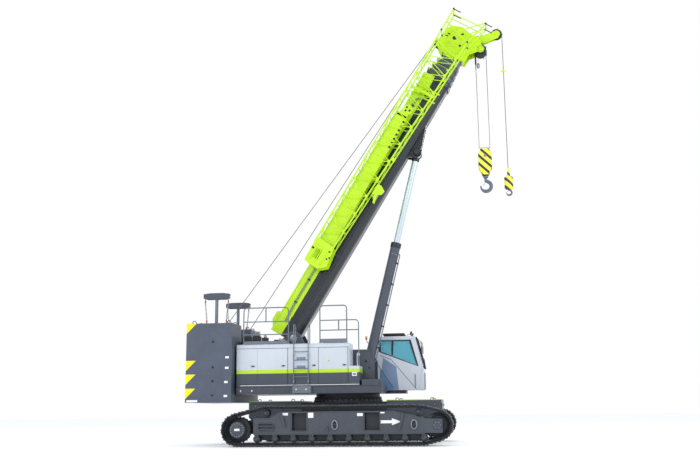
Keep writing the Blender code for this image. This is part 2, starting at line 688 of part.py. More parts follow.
def handrails():
    y = -1.40
    floor = HOUSE_TOP + GAP
    bar = 0.02
    rear, front, top = -3.33, -1.80, 4.52
    rail = tube(bent([(rear, y, floor), (rear, y, top), (front, y, top), (front, y, floor)]), bar)
    extra = [tube([(rear, y, z), (front, y, z)], bar) for z in (3.62, 4.05)]
    extra.append(tube([(-2.57, y, 4.05), (-2.57, y, top)], bar))
    part("rear_handrail", join(rail, *extra), GALVANISED, TURNTABLE)
    rear, front, top = -0.73, 0.17, 4.54
    rail = tube(bent([(rear, y, floor), (rear, y, top), (front, y, top), (front, y, floor)]), bar)
    low_front, low_top = LOCKER_FRONT - 0.02, 4.05
    low = tube(bent([(rear, y, low_top), (low_front, y, low_top), (low_front, y, LOCKER_TOP + GAP)]), bar)
    extra = [tube([(rear, y, z), (reach, y, z)], bar) for z, reach in ((3.42, front), (3.72, low_front))]
    extra.append(tube([(-0.10, y, 3.72), (-0.10, y, low_top)], bar))
    part("front_handrail", join(rail, low, *extra), GALVANISED, TURNTABLE)


def ladder():
    """Ladder up the right side of the house, standing on its step box."""
    rear, front, y = -1.585, -1.10, -1.57
    block = box((rear - 0.03, y - 0.06, DECK_BOTTOM + 0.02), (front + 0.10, -DECK_HALF_WIDTH - GAP, DECK_TOP - 0.01))
    rails = [tube(bent([(x, y, DECK_TOP - 0.05), (x, y, 3.92), (x + 0.02, y + 0.20, 3.92),
                        (x + 0.02, y + 0.20, HOUSE_TOP + GAP)], 0.08), 0.018) for x in (rear, front)]
    rungs = [tube([(rear, y, z), (front, y, z)], 0.014) for z in (2.20, 2.47, 2.74, 3.01)]
    part("ladder", join(block, *rails, *rungs), GALVANISED, TURNTABLE)


# ---- cab ------------------------------------------------------------------------------------------
def cab_outline(inset):
    """The cab's side, drawn in by a wall."""
    return [(CAB_REAR + inset, CAB_BOTTOM + inset), (CAB_FRONT - inset, CAB_BOTTOM + inset),
            (CAB_FRONT - inset, 2.50), (2.535 - inset * 1.04, 2.58), (2.31 - inset * 1.04, 3.55 - inset * 0.6),
            (2.24 - inset, CAB_ROOF - inset), (CAB_REAR + inset, CAB_ROOF - inset)]


SIDE_WINDOW = [(1.06, 3.12), (2.36, 2.62), (2.12, 3.46), (1.06, 3.46)]
DOOR_WINDOW = [(0.98, 2.62), (1.52, 2.62), (1.52, 3.42), (0.98, 3.42)]
DOOR_HOLE = (0.88, 1.62, CAB_BOTTOM + 0.10, 3.50)


def shrunk(outline, inset):
    """An outline with straight sides drawn in towards its middle."""
    middle = Vector((sum(p[0] for p in outline), sum(p[1] for p in outline))) / len(outline)
    return [tuple(Vector(p) + (middle - Vector(p)).normalized() * inset) for p in outline]


def cab():
    shell = prism(cab_outline(0), "Y", CAB_INNER, CAB_OUTER)
    room = prism(cab_outline(CAB_WALL), "Y", CAB_INNER + CAB_WALL, CAB_OUTER - CAB_WALL)
    side = prism(SIDE_WINDOW, "Y", CAB_INNER - 0.1, CAB_INNER + 0.2)
    rear, front, low, high = DOOR_HOLE
    doorway = box((rear, CAB_OUTER - 0.2, low), (front, CAB_OUTER + 0.1, high))
    screen = windscreen(CAB_INNER + 0.09, CAB_OUTER - 0.09, -0.06, 0.10, 0.0)
    part("cab_shell", cut(shell, room, side, doorway, screen), SILVER, CAB)
    glass = prism(shrunk(SIDE_WINDOW, GAP * 1.5), "Y", CAB_INNER + 0.014, CAB_INNER + 0.014 + GLASS)
    part("side_window", glass, GLAZING, CAB)
    pane = windscreen(CAB_INNER + 0.09 + GAP, CAB_OUTER - 0.09 - GAP, 0.010, 0.010 + GLASS, GAP)
    part("windscreen", pane, GLAZING, CAB)
    seat()
    guard = box((1.16, CAB_INNER + 0.12, CAB_ROOF + 0.05), (1.92, CAB_OUTER - 0.12, CAB_ROOF + 0.09))
    feet = [box((x, y, CAB_ROOF + GAP), (x + 0.05, y + 0.05, CAB_ROOF + 0.06))
            for x in (1.22, 1.80) for y in (CAB_INNER + 0.15, CAB_OUTER - 0.20)]
    part("roof_guard", join(guard, *feet), CHARCOAL, CAB)


def windscreen(low, high, outside, inside, trim):
    """A slab parallel to the raked front, from outside its face to inside it."""
    foot, head = Vector((2.535, 2.58)), Vector((2.31, 3.55))
    rake = (head - foot).normalized()
    inward = Vector((-rake.y, rake.x))
    foot, head = foot + rake * (0.05 + trim), head - rake * (0.06 + trim)
    corners = [foot + inward * outside, foot + inward * inside, head + inward * inside, head + inward * outside]
    return prism([tuple(corner) for corner in corners], "Y", low, high)


def cab_door():
    """Sliding door on the outside of the cab's left wall."""
    rear, front, low, high = DOOR_HOLE
    leaf = box((rear - 0.02, CAB_OUTER + GAP, low - 0.02), (front + 0.02, CAB_OUTER + 0.035, high + 0.02))
    opening = prism(DOOR_WINDOW, "Y", CAB_OUTER - 0.1, CAB_OUTER + 0.2)
    part("cab_door", cut(leaf, opening), SILVER, CAB_DOOR)
    pane = prism(shrunk(DOOR_WINDOW, GAP * 1.5), "Y", CAB_OUTER + 0.012, CAB_OUTER + 0.012 + GLASS)
    part("door_window", pane, GLAZING, CAB_DOOR)


def seat():
    """Operator's seat with its box and armrest consoles."""
    middle = (CAB_INNER + CAB_OUTER) / 2
    floor = CAB_BOTTOM + CAB_WALL + GAP
    base = box((1.05, middle - 0.20, floor), (1.45, middle + 0.20, floor + 0.33))
    side = [(1.00, floor + 0.30), (1.52, floor + 0.34), (1.54, floor + 0.44), (1.10, floor + 0.46),
            (0.98, floor + 1.12), (0.86, floor + 1.10), (0.92, floor + 0.40)]
    cushion = prism(side, "Y", middle - 0.24, middle + 0.24)
    arms = [box((1.02, middle + offset - 0.07, floor + 0.20), (1.62, middle + offset + 0.07, floor + 0.62))
            for offset in (-0.29, 0.29)]
    part("operator_seat", join(base, cushion, *arms), TRIM, CAB)


# ---- boom -----------------------------------------------------------------------------------------
def boom_profile(index, inset=0.0):
    """Cross-section of a section: flat top, straight sides and a rounded belly."""
    half = (BASE_WIDTH - index * SECTION_STEP) / 2 - inset
    depth = BASE_DEPTH - index * SECTION_STEP - 2 * inset
    bottom = BOOM_BOTTOM + index * (SECTION_WALL + GAP) + inset
    flat = 0.20 - 0.02 * index
    belly = 0.42 - 0.02 * index
    right = [(flat + (half - flat) * math.sin(a), bottom + belly * (1 - math.cos(a)))
             for a in (math.pi / 2 * i / 5 for i in range(6))]
    right += [(half, bottom + depth - 0.07), (half - 0.07, bottom + depth)]
    return right + [(-y, z) for y, z in reversed(right)]


def boom_tube(index, rear, front, closed):
    outer = prism(boom_profile(index), "X", rear, front, place=BOOM_FRAME)
    start = rear + SECTION_WALL if closed else rear - 0.1
    return cut(outer, prism(boom_profile(index, SECTION_WALL), "X", start, front + 0.1, place=BOOM_FRAME))


def collar(index, rear, front, proud):
    """A band round a section's front end."""
    return prism(boom_profile(index, -proud), "X", rear, front, place=BOOM_FRAME)


def base_section():
    solid = join(prism(boom_profile(0), "X", BOOM_REAR, BASE_END, place=BOOM_FRAME),
                 collar(0, BASE_END - 0.16, BASE_END - 0.02, 0.025))
    reach = LUFF_PIN[0]
    lug = [(reach - 0.30, BOOM_BOTTOM + 0.01), (reach - 0.19, LUFF_PIN[1] - 0.10),
           *arc(LUFF_PIN, 0.18, 230, 330, 4), (reach + 1.05, BOOM_BOTTOM + 0.01)]
    lugs = [prism(lug, "Y", *mirrored(side, 0.13, 0.19), place=BOOM_FRAME) for side in (-1, 1)]
    join(solid, *lugs)
    cut(solid, prism(boom_profile(0, SECTION_WALL), "X", FOOT_LENGTH, BASE_END + 0.1, place=BOOM_FRAME))
    edge = CHEEK_INNER - GAP
    join(solid, rod((0, -edge, 0), (0, edge, 0), PIN_RADIUS, 24, place=BOOM_FRAME))
    part("boom_base_section", solid, LIME, BOOM)


def inner_section(number):
    index = number - 1
    front = section_front(index) if number < 5 else HEAD_START - GAP
    rear = FOOT_LENGTH + 0.06 * index
    solid = prism(boom_profile(index), "X", rear, front, place=BOOM_FRAME)
    if number < 5:
        join(solid, collar(index, section_front(index - 1) + 0.06, front - 0.02, 0.022))
    cut(solid, prism(boom_profile(index, SECTION_WALL), "X", rear - 0.1, front + 0.1, place=BOOM_FRAME))
    part(f"boom_section_{number}", solid, SLATE, SECTIONS[index])


def boom_head():
    """Head box, side plates and the arm of the tip sheave."""
    start = HEAD_START
    block = box((start, -0.26, BOOM_BOTTOM + 0.03), (start + 0.28, 0.26, 0.80), BOOM_FRAME)
    outline = [(start + 0.02, -0.14), (start + 0.35, -0.24), (HEAD_SHEAVE[0] - 0.16, -0.52),
               (HEAD_SHEAVE[0] + 0.10, -0.54), (HEAD_SHEAVE[0] + 0.24, -0.38), (12.62, -0.26), (12.60, 0.20),
               (12.70, 0.55), (12.58, 0.95), (12.25, 1.10), (11.85, 1.05), (start + 0.02, 0.78)]
    plates = [prism(outline, "Y", *mirrored(side, 0.23, 0.27), place=BOOM_FRAME) for side in (-1, 1)]
    tip = [(12.50, 0.12), (12.50, -0.20), (12.56, -0.36), (TIP_SHEAVE[0] - 0.10, TIP_SHEAVE[1] - 0.13),
           *arc(TIP_SHEAVE, 0.13, -110, 60, 6), (12.72, -0.10), (12.66, 0.12)]
    arms = [prism(tip, "Y", *mirrored(side, 0.055, 0.095), place=BOOM_FRAME) for side in (-1, 1)]
    bars = [rod((a, -0.25, p), (a, 0.25, p), radius, 12, place=BOOM_FRAME)
            for a, p, radius in ((12.52, 0.72, 0.05), (12.10, 0.85, 0.05))]
    web = box((12.44, -0.25, -0.08), (12.59, 0.25, 0.50), BOOM_FRAME)
    part("boom_head", join(block, *plates, *arms, *bars, web), LIME, SECTIONS[4])


def rope_line(radius, width):
    """Distance from a sheave's axis to the middle of a rope lying in its groove."""
    return radius - GROOVE + ROPE_RADIUS * math.hypot(1, 2 * GROOVE / width) + GAP


def sheave(name, place, radius, width, shaft, reach, rope_lines):
    """Grooved sheaves on one shaft."""
    half = width * rope_lines / 2
    profile = [(0, reach), (shaft, reach), (shaft, half)]
    for line in range(rope_lines):
        top = half - line * width
        profile += [(radius, top), (radius - GROOVE, top - width / 2)]
    profile += [(radius, -half), (shaft, -half), (shaft, -reach), (0, -reach)]
    turn = Matrix.Rotation(-math.pi / 2, 4, "X")
    piece = turned(profile, (0, 0, 0), "Z", 24)
    piece.matrix_world = BOOM_FRAME @ Matrix.Translation((place[0], 0, place[1])) @ turn
    part(name, piece, CHARCOAL, SECTIONS[4])


def inset_triangle(corners, inset):
    """A triangle with its sides drawn in."""
    a, b, c = (Vector(corner) for corner in corners)
    sides = [(b - c).length, (c - a).length, (a - b).length]
    total = sum(sides)
    middle = (a * sides[0] + b * sides[1] + c * sides[2]) / total
    area = abs((b - a).cross(c - a)) / 2
    share = 1 - inset / (2 * area / total)
    return [tuple(middle + (corner - middle) * share) for corner in (a, b, c)]


def jib_panel(y):
    """One flat lattice panel of the stowed jib."""
    low, high = JIB_LOW, JIB_HIGH
    end = JIB_START + JIB_BAYS * JIB_BAY
    outline = [(2.38, 0.22), (2.62, 0.14), (JIB_START, low), (end, low), (12.95, -0.19), (12.98, -0.11),
               (12.12, low + 0.22), (12.22, high - 0.12), (12.95, high - 0.12), (12.95, high - 0.04),
               (end, high), (JIB_START, high), (2.42, 0.90)]
    holes = []
    for bay in range(JIB_BAYS):
        x = JIB_START + bay * JIB_BAY
        up = [(x, low), (x + JIB_BAY, low), (x + JIB_BAY / 2, high)]
        holes.append(inset_triangle(up, JIB_BAR * 0.75))
        if bay:
            down = [(x - JIB_BAY / 2, high), (x + JIB_BAY / 2, high), (x, low)]
            holes.append(inset_triangle(down, JIB_BAR * 0.75))
    return prism(outline, "Y", y - JIB_BAR / 2, y + JIB_BAR / 2, holes, place=BOOM_FRAME)


def jib():
    near, far = jib_panel(-JIB_NEAR), jib_panel(-JIB_FAR)
    ties = []
    for index in range(0, JIB_BAYS + 1, 3):
        along = JIB_START + index * JIB_BAY
        for level in (JIB_LOW + 0.03, JIB_HIGH - 0.03):
            ties.append(box((along - 0.03, -JIB_NEAR, level - 0.02), (along + 0.03, -JIB_FAR, level + 0.02),
                            BOOM_FRAME))
    ties.append(box((2.45, -JIB_NEAR, 0.35), (2.60, -JIB_FAR, 0.75), BOOM_FRAME))
    edge = BASE_WIDTH / 2 + GAP
    for along in (JIB_START + 4 * JIB_BAY, JIB_START + 9 * JIB_BAY):
        ties.append(box((along - 0.10, -JIB_FAR, JIB_HIGH - 0.50), (along + 0.10, -edge, JIB_HIGH - 0.36), BOOM_FRAME))
        ties.append(box((along - 0.10, -JIB_FAR - 0.02, JIB_LOW + 0.01), (along + 0.10, -JIB_FAR + 0.02,
                                                                        JIB_HIGH - 0.01), BOOM_FRAME))
    part("jib", join(near, far, *ties), LIME, BOOM)


# ---- luffing cylinder -----------------------------------------------------------------------------
def cylinder_frame():
    """A frame at the foot whose Z runs up the cylinder and whose Y lies across the machine."""
    axis = (on_boom(*LUFF_PIN) - LUFF_FOOT).normalized()
    across = Vector((0, 1, 0))
    side = across.cross(axis)
    turn = Matrix((side, across, axis)).transposed().to_4x4()
    return Matrix.Translation(LUFF_FOOT) @ turn


def luffing_cylinder():
    place = cylinder_frame()
    length = (on_boom(*LUFF_PIN) - LUFF_FOOT).length
    profile = [(0, 0.30), (BORE_RADIUS, 0.30), (BORE_RADIUS, BARREL_LENGTH - 0.16),
               (ROD_RADIUS + GAP, BARREL_LENGTH - 0.15), (ROD_RADIUS + GAP, BARREL_LENGTH),
               (BARREL_RADIUS, BARREL_LENGTH), (BARREL_RADIUS, 0.16), (0, 0.16)]
    barrel = turned(profile, (0, 0, 0), "Z", 24, place)
    edge = 0.20 - GAP
    eye = prism([*arc((0, 0), 0.15, 180, 360, 10), (0.15, 0.22), (-0.15, 0.22)], "Y", -edge, edge, place=place)
    part("luff_barrel", join(barrel, eye), SLATE, LUFF_BARREL)
    face = PISTON_START + PISTON_LENGTH
    profile = [(0, length - 0.05), (ROD_RADIUS, length - 0.05), (ROD_RADIUS, face),
               (BORE_RADIUS - GAP, face), (BORE_RADIUS - GAP, PISTON_START), (0, PISTON_START)]
    piston = turned(profile, (0, 0, 0), "Z", 24, place)
    edge = 0.13 - GAP
    eye = rod((0, -edge, length), (0, edge, length), 0.155, 20, place)
    part("luff_rod", join(piston, eye), CHROME, LUFF_ROD)


# ---- hooks ----------------------------------------------------------------------------------------
def hook_outline(x, top, tip, width):
    """A crane hook: shank down to an open bowl with its point to the rear."""
    outer = (top - tip) * 0.36
    centre = (x, tip + outer)
    inner = outer * 0.48
    mouth = (x - inner * 0.10, centre[1] + inner * 0.15)
    return [(x + width / 2, top), *arc(centre, outer, 60, -165, 12), (x - outer * 0.80, centre[1] + outer * 0.45),
            *arc(mouth, inner, 190, 420, 10), (x - width / 2, centre[1] + outer * 1.05), (x - width / 2, top)]


def main_hook():
    centre = on_boom(*HEAD_SHEAVE)
    reach = rope_line(HEAD_SHEAVE_RADIUS, SHEAVE_PITCH)
    low = BLOCK_TOP + ROPE_RADIUS
    path = [(centre.x - reach, 0, centre.z), (centre.x - reach, 0, low), (centre.x + reach, 0, low),
            (centre.x + reach, 0, centre.z)]
    part("main_hoist_ropes", tube(path, ROPE_RADIUS), ROPE, MAIN_LINE)
    top, low = BLOCK_TOP, BLOCK_TOP - BLOCK_HEIGHT
    cheek = [(-0.17, low), (0.17, low), (0.29, top - 0.30), (0.28, top - 0.04), (reach, top), (-reach, top),
             (-0.28, top - 0.04), (-0.29, top - 0.30)]
    block = prism([(centre.x + x, z) for x, z in cheek], "Y", -0.17, 0.17)
    neck = rod((centre.x, 0, low - 0.16), (centre.x, 0, low + 0.05), 0.09, 16)
    hook = prism(hook_outline(centre.x, low - 0.10, HOOK_TIP, 0.13), "Y", -0.055, 0.055)
    part("hook_block", join(block, neck, hook), YELLOW, MAIN_HOOK)


def aux_hook():
    centre = on_boom(*TIP_SHEAVE)
    x = centre.x + rope_line(TIP_SHEAVE_RADIUS, TIP_SHEAVE_WIDTH)
    part("aux_hoist_rope", tube([(x, 0, centre.z), (x, 0, AUX_TOP + GAP)], ROPE_RADIUS), ROPE, AUX_LINE)
    socket = rod((x, 0, AUX_TOP - 0.22), (x, 0, AUX_TOP), 0.035, 12)
    weight = rod((x, 0, AUX_TOP - 0.58), (x, 0, AUX_TOP - 0.20), 0.15, 20)
    neck = rod((x, 0, AUX_TOP - 0.70), (x, 0, AUX_TOP - 0.55), 0.05, 12)
    hook = prism(hook_outline(x, AUX_TOP - 0.66, AUX_TIP, 0.06), "Y", -0.03, 0.03)
    part("aux_hook", join(weight, socket, neck, hook), YELLOW, AUX_HOOK)


# ---- assembly -------------------------------------------------------------------------------------
car_body()
ballast_box("front_ballast", 1)
ballast_box("rear_ballast", -1)
slew_ring()
for hand, title in ((-1, "right"), (1, "left")):
    track(f"{title}_track", hand)
    side_frame(f"{title}_side_frame", hand)
    wheel(f"{title}_sprocket", hand, REAR_WHEEL, SPROCKET_RADIUS, 0.15, 0.26, 0.26, PLATE_REACH)
    wheel(f"{title}_idler", hand, FRONT_WHEEL, IDLER_RADIUS, 0.13, 0.14, PLATE_REACH - GAP, PLATE_REACH)
    rollers(f"{title}_rollers", hand)
turntable_frame()
houses()
counterweight()
winch("main_winch", -4.62, 3.05)
winch("aux_winch", -3.78, 3.05)
handrails()
ladder()
cab()
cab_door()
base_section()
for section in range(2, 6):
    inner_section(section)
boom_head()
sheave("head_sheaves", HEAD_SHEAVE, HEAD_SHEAVE_RADIUS, SHEAVE_PITCH, 0.05, 0.23 - GAP, 3)
sheave("tip_sheave", TIP_SHEAVE, TIP_SHEAVE_RADIUS, TIP_SHEAVE_WIDTH, 0.04, 0.055 - GAP, 1)
jib()
luffing_cylinder()
main_hook()
aux_hook()

FRONT_REACH = on_boom(*TIP_SHEAVE).x + rope_line(TIP_SHEAVE_RADIUS, TIP_SHEAVE_WIDTH) + 0.15
MACHINE.location.x = -(CW_REAR + FRONT_REACH) / 2
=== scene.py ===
"""Looks for the crawler crane: materials, detail pieces, floor, light and camera."""

import json
from math import acos, atan2, cos, dist, hypot, pi, radians, sin, tau

import bpy
from mathutils import Matrix, Vector


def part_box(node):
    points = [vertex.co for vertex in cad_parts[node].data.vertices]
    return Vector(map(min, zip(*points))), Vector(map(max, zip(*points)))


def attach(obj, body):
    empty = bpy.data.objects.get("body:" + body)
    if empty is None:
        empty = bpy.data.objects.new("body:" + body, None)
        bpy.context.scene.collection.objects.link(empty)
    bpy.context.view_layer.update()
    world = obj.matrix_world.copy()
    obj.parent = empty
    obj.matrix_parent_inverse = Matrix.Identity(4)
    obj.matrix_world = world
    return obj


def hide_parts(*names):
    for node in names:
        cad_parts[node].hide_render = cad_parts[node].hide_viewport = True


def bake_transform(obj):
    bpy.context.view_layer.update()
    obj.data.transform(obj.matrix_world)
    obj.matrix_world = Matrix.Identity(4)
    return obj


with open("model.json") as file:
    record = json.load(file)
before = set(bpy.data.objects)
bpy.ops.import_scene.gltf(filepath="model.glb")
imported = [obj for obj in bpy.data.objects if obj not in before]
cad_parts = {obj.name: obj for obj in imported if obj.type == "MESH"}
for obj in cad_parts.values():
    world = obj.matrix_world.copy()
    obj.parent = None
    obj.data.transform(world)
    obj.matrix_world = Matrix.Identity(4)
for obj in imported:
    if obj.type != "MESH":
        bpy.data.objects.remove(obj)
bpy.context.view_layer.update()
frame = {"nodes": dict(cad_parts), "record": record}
NODES = frame["nodes"]

# ---- where things are -------------------------------------------------------------------------------
# Pieces are drawn round the slew axis, or in the boom's own frame, and moved from there.
RING_LOW, RING_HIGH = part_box("slew_ring")
SHIFT = Matrix.Translation(((RING_LOW.x + RING_HIGH.x) / 2, 0, 0))
BOOM_ANGLE = radians(58.5)
BOOM_PIN = Vector((-1.8, 0.0, 3.53))
LOCAL_BOOM = Matrix.Translation(BOOM_PIN) @ Matrix.Rotation(-BOOM_ANGLE, 4, "Y")
BOOM = SHIFT @ LOCAL_BOOM
BOOM_UP = Vector((-sin(BOOM_ANGLE), 0, cos(BOOM_ANGLE)))
PIN_PLACE = BOOM.translation
LUFF_FOOT = Vector((0.645, 0.0, 2.36))
LUFF_EYE = LOCAL_BOOM @ Vector((7.85, 0, -0.31))
LUFF_AXIS = (LUFF_EYE - LUFF_FOOT).normalized()
LUFF_TURN = Matrix((Vector((0, 1, 0)).cross(LUFF_AXIS), Vector((0, 1, 0)), LUFF_AXIS)).transposed().to_4x4()
LUFF = SHIFT @ Matrix.Translation(LUFF_FOOT) @ LUFF_TURN
HEAD_SHEAVE = Vector((12.27, 0, -0.41))
TIP_SHEAVE = Vector((13.1, 0, -0.59))


# ---- materials --------------------------------------------------------------------------------------
def add_node(tree, kind, inputs, **settings):
    """A new shader node; each input is a value or another node's socket."""
    made = tree.nodes.new("ShaderNode" + kind)
    for key, value in settings.items():
        setattr(made, key, value)
    for key, value in inputs.items():
        if isinstance(value, bpy.types.NodeSocket):
            tree.links.new(value, made.inputs[key])
        else:
            made.inputs[key].default_value = value
    return made


def socket_maths(tree, operation, *values):
    return add_node(tree, "Math", dict(enumerate(values)), operation=operation).outputs[0]


def noise(tree, place, scale, detail=3.0, stretch=None):
    if stretch is not None:
        place = add_node(tree, "Mapping", {"Scale": stretch, "Vector": place}).outputs[0]
    return add_node(tree, "TexNoise", {"Scale": scale, "Detail": detail, "Vector": place}).outputs["Fac"]


def ramp(tree, value, low, high):
    return add_node(tree, "MapRange", {"From Min": low, "From Max": high, "Value": value}).outputs[0]


def blend_colour(tree, factor, first, second, mode="MIX"):
    first, second = ((*c, 1.0) if isinstance(c, tuple) else c for c in (first, second))
    return add_node(tree, "Mix", {0: factor, 6: first, 7: second}, data_type="RGBA", blend_type=mode).outputs[2]


def measure(tree, place, direction):
    """How far a place lies along a direction."""
    return add_node(tree, "VectorMath", {0: place, 1: direction}, operation="DOT_PRODUCT").outputs["Value"]


def zone_mask(tree, place, rules):
    """1 where every rule (direction, low, high) holds for the place."""
    mask = None
    for direction, low, high in rules:
        value = measure(tree, place, direction)
        inside = socket_maths(tree, "MULTIPLY", socket_maths(tree, "GREATER_THAN", value, low),
            socket_maths(tree, "LESS_THAN", value, high))
        mask = inside if mask is None else socket_maths(tree, "MULTIPLY", mask, inside)
    return mask


DRIFT_SCALE, FINE_SCALE, RUN_SCALE = 1.7, 23.0, 5.0
RUN_STRETCH = (6.0, 6.0, 0.35)
RUN_RGB = (0.16, 0.15, 0.14)


def finish(name, colour, roughness=0.4, metallic=0.0, vary=0.1, bump=0.02, grain=140.0, dust=0.0,
        dust_colour=(0.3, 0.29, 0.27), zones=(), coat=0.0, streak=0.0, stripes=None):
    """Painted or bare metal: colour drift, fine grain, dust, run marks and zones of other colours."""
    made = bpy.data.materials.new(name)
    made.use_nodes = True
    tree = made.node_tree
    shader = tree.nodes["Principled BSDF"]
    place = tree.nodes.new("ShaderNodeTexCoord").outputs["Object"]
    base = colour
    for other, rules in zones:
        base = blend_colour(tree, zone_mask(tree, place, rules), base, other)
    if stripes is not None:
        other, direction, period, share = stripes
        phase = socket_maths(tree, "FRACT", socket_maths(tree, "DIVIDE", measure(tree, place, direction),
            period))
        base = blend_colour(tree, socket_maths(tree, "LESS_THAN", phase, share), base, other)
    shade = add_node(tree, "MapRange", {"From Min": 0.3, "From Max": 0.7, "To Min": 1.0 - vary,
        "To Max": 1.0 + vary * 0.6, "Value": noise(tree, place, DRIFT_SCALE, 4.0)}).outputs[0]
    tint = add_node(tree, "CombineColor", {0: shade, 1: shade, 2: shade}).outputs[0]
    base = blend_colour(tree, 1.0, base, tint, "MULTIPLY")
    fine = noise(tree, place, FINE_SCALE, 6.0)
    if streak:
        runs = noise(tree, place, RUN_SCALE, 3.0, RUN_STRETCH)
        base = blend_colour(tree, socket_maths(tree, "MULTIPLY", ramp(tree, runs, 0.52, 0.75), streak), base,
            RUN_RGB)
    if dust:
        cover = socket_maths(tree, "MULTIPLY", ramp(tree, fine, 0.42, 0.72), dust)
        base = blend_colour(tree, cover, base, dust_colour)
    tree.links.new(base, shader.inputs["Base Color"])
    gloss = add_node(tree, "MapRange", {"To Min": max(0.03, roughness - 0.07),
        "To Max": min(1.0, roughness + 0.12), "Value": fine})
    tree.links.new(gloss.outputs[0], shader.inputs["Roughness"])
    shader.inputs["Metallic"].default_value = metallic
    shader.inputs["Coat Weight"].default_value = coat
    if bump:
        bumps = add_node(tree, "Bump", {"Strength": bump * 5, "Distance": 0.002,
            "Height": noise(tree, place, grain, 2.0)})
        tree.links.new(bumps.outputs[0], shader.inputs["Normal"])
    return made


Z = (0.0, 0.0, 1.0)
PERP_ZERO = PIN_PLACE.dot(BOOM_UP)
STRIPE_Z = (2.325, 2.445)
LIME_RGB = (0.5, 0.78, 0.0)
SLATE_RGB = (0.052, 0.064, 0.09)
SILVER_RGB = (0.6, 0.65, 0.72)
BOOM_SLATE_RGB = (0.008, 0.012, 0.019)
LIME = finish("lime_gloss", LIME_RGB, 0.32, vary=0.05, coat=0.3, streak=0.05)
SLATE = finish("slate_gloss", SLATE_RGB, 0.38, coat=0.2, streak=0.12, dust=0.05)
DARK = finish("dark_gloss", (0.016, 0.02, 0.028), 0.45, streak=0.05)
SILVER = finish("silver_gloss", SILVER_RGB, 0.33, vary=0.05, coat=0.3, streak=0.04)
HOUSE = finish("house_gloss", SILVER_RGB, 0.33, vary=0.04, coat=0.3, streak=0.04,
    zones=[(SLATE_RGB, [(Z, 0, STRIPE_Z[0])]), (LIME_RGB, [(Z, *STRIPE_Z)])])
CAB_PAINT = finish("cab_gloss", SILVER_RGB, 0.3, vary=0.04, coat=0.3)
WEIGHT = finish("weight_gloss", (0.072, 0.09, 0.132), 0.45, vary=0.14, bump=0.05, grain=60, streak=0.12,
    dust=0.04)
BOOM_PAINT = finish("boom_gloss", LIME_RGB, 0.3, vary=0.04, coat=0.3, streak=0.03,
    zones=[(BOOM_SLATE_RGB, [(tuple(BOOM_UP), PERP_ZERO - 2, PERP_ZERO + 0.47)])])
TRACK = finish("track_steel", (0.03, 0.033, 0.044), 0.5, 0.3, vary=0.3, bump=0.1, grain=45, dust=0.45,
    dust_colour=(0.3, 0.31, 0.36))
LINK = finish("link_steel", (0.025, 0.027, 0.033), 0.45, 0.5, vary=0.3, bump=0.08, grain=50, dust=0.2)
FRAME_PAINT = finish("side_frame_paint", (0.05, 0.06, 0.08), 0.42, vary=0.14, streak=0.12, dust=0.08)
CHROME = finish("rod_chrome_ground", (0.62, 0.72, 0.78), 0.22, 0.55, vary=0.04, bump=0.01, grain=300)
TUBE = finish("rail_tube", (0.17, 0.2, 0.24), 0.35, 0.3, vary=0.08)
STEEL = finish("bare_steel", (0.3, 0.32, 0.35), 0.35, 0.9, vary=0.15, bump=0.03)
YELLOW = finish("flash_yellow", (0.9, 0.82, 0.01), 0.4, vary=0.05)
WHITE = finish("plate_white", (0.86, 0.87, 0.9), 0.4, vary=0.04)
RED = finish("shackle_red", (0.55, 0.035, 0.02), 0.4, vary=0.1)
ORANGE = finish("beacon_amber", (0.75, 0.22, 0.01), 0.2, vary=0.05, coat=0.5)
RUBBER = finish("rubber_black", (0.015, 0.016, 0.018), 0.6, vary=0.1, bump=0.04)
ROPE = finish("rope_wire", (0.16, 0.19, 0.25), 0.45, 0.6, vary=0.2, bump=0.2, grain=220)
BAND_BLUE = finish("band_blue", (0.19, 0.27, 0.45), 0.33, vary=0.06, coat=0.3)
BAND_DEEP = finish("band_deep_blue", (0.12, 0.24, 0.42), 0.33, vary=0.06, coat=0.3)
CHEQUER = finish("chequer_deck", (0.1, 0.11, 0.13), 0.5, 0.4, vary=0.15, bump=0.3, grain=30, dust=0.2)
FABRIC = finish("seat_cloth", (0.035, 0.037, 0.042), 0.9, vary=0.2, bump=0.3, grain=260)
HOOK_PAINT = finish("hook_paint", (0.9, 0.85, 0.05), 0.4, vary=0.06,
    stripes=((0.035, 0.04, 0.045), (0.7, 0.0, 0.72), 0.215, 0.42))
HOOK_STEEL = finish("hook_steel", (0.13, 0.16, 0.22), 0.4, 0.4, vary=0.12, bump=0.05, grain=60)
LAMP = finish("lamp_lens", (0.8, 0.85, 0.9), 0.1, vary=0.03, coat=0.6)


def glass(name, tint, alpha):
    made = finish(name, tint, 0.06, vary=0.06, bump=0.0, coat=0.6)
    shader = made.node_tree.nodes["Principled BSDF"]
    shader.inputs["Alpha"].default_value = alpha
    shader.inputs["Transmission Weight"].default_value = 0.25
    return made


SIDE_GLASS = glass("side_glass", (0.14, 0.62, 0.78), 0.7)
FRONT_GLASS = glass("front_glass", (0.05, 0.3, 0.62), 0.66)


# ---- pieces -----------------------------------------------------------------------------------------
SHARP, BEVEL_FROM = radians(35), radians(40)
BATCHES = []


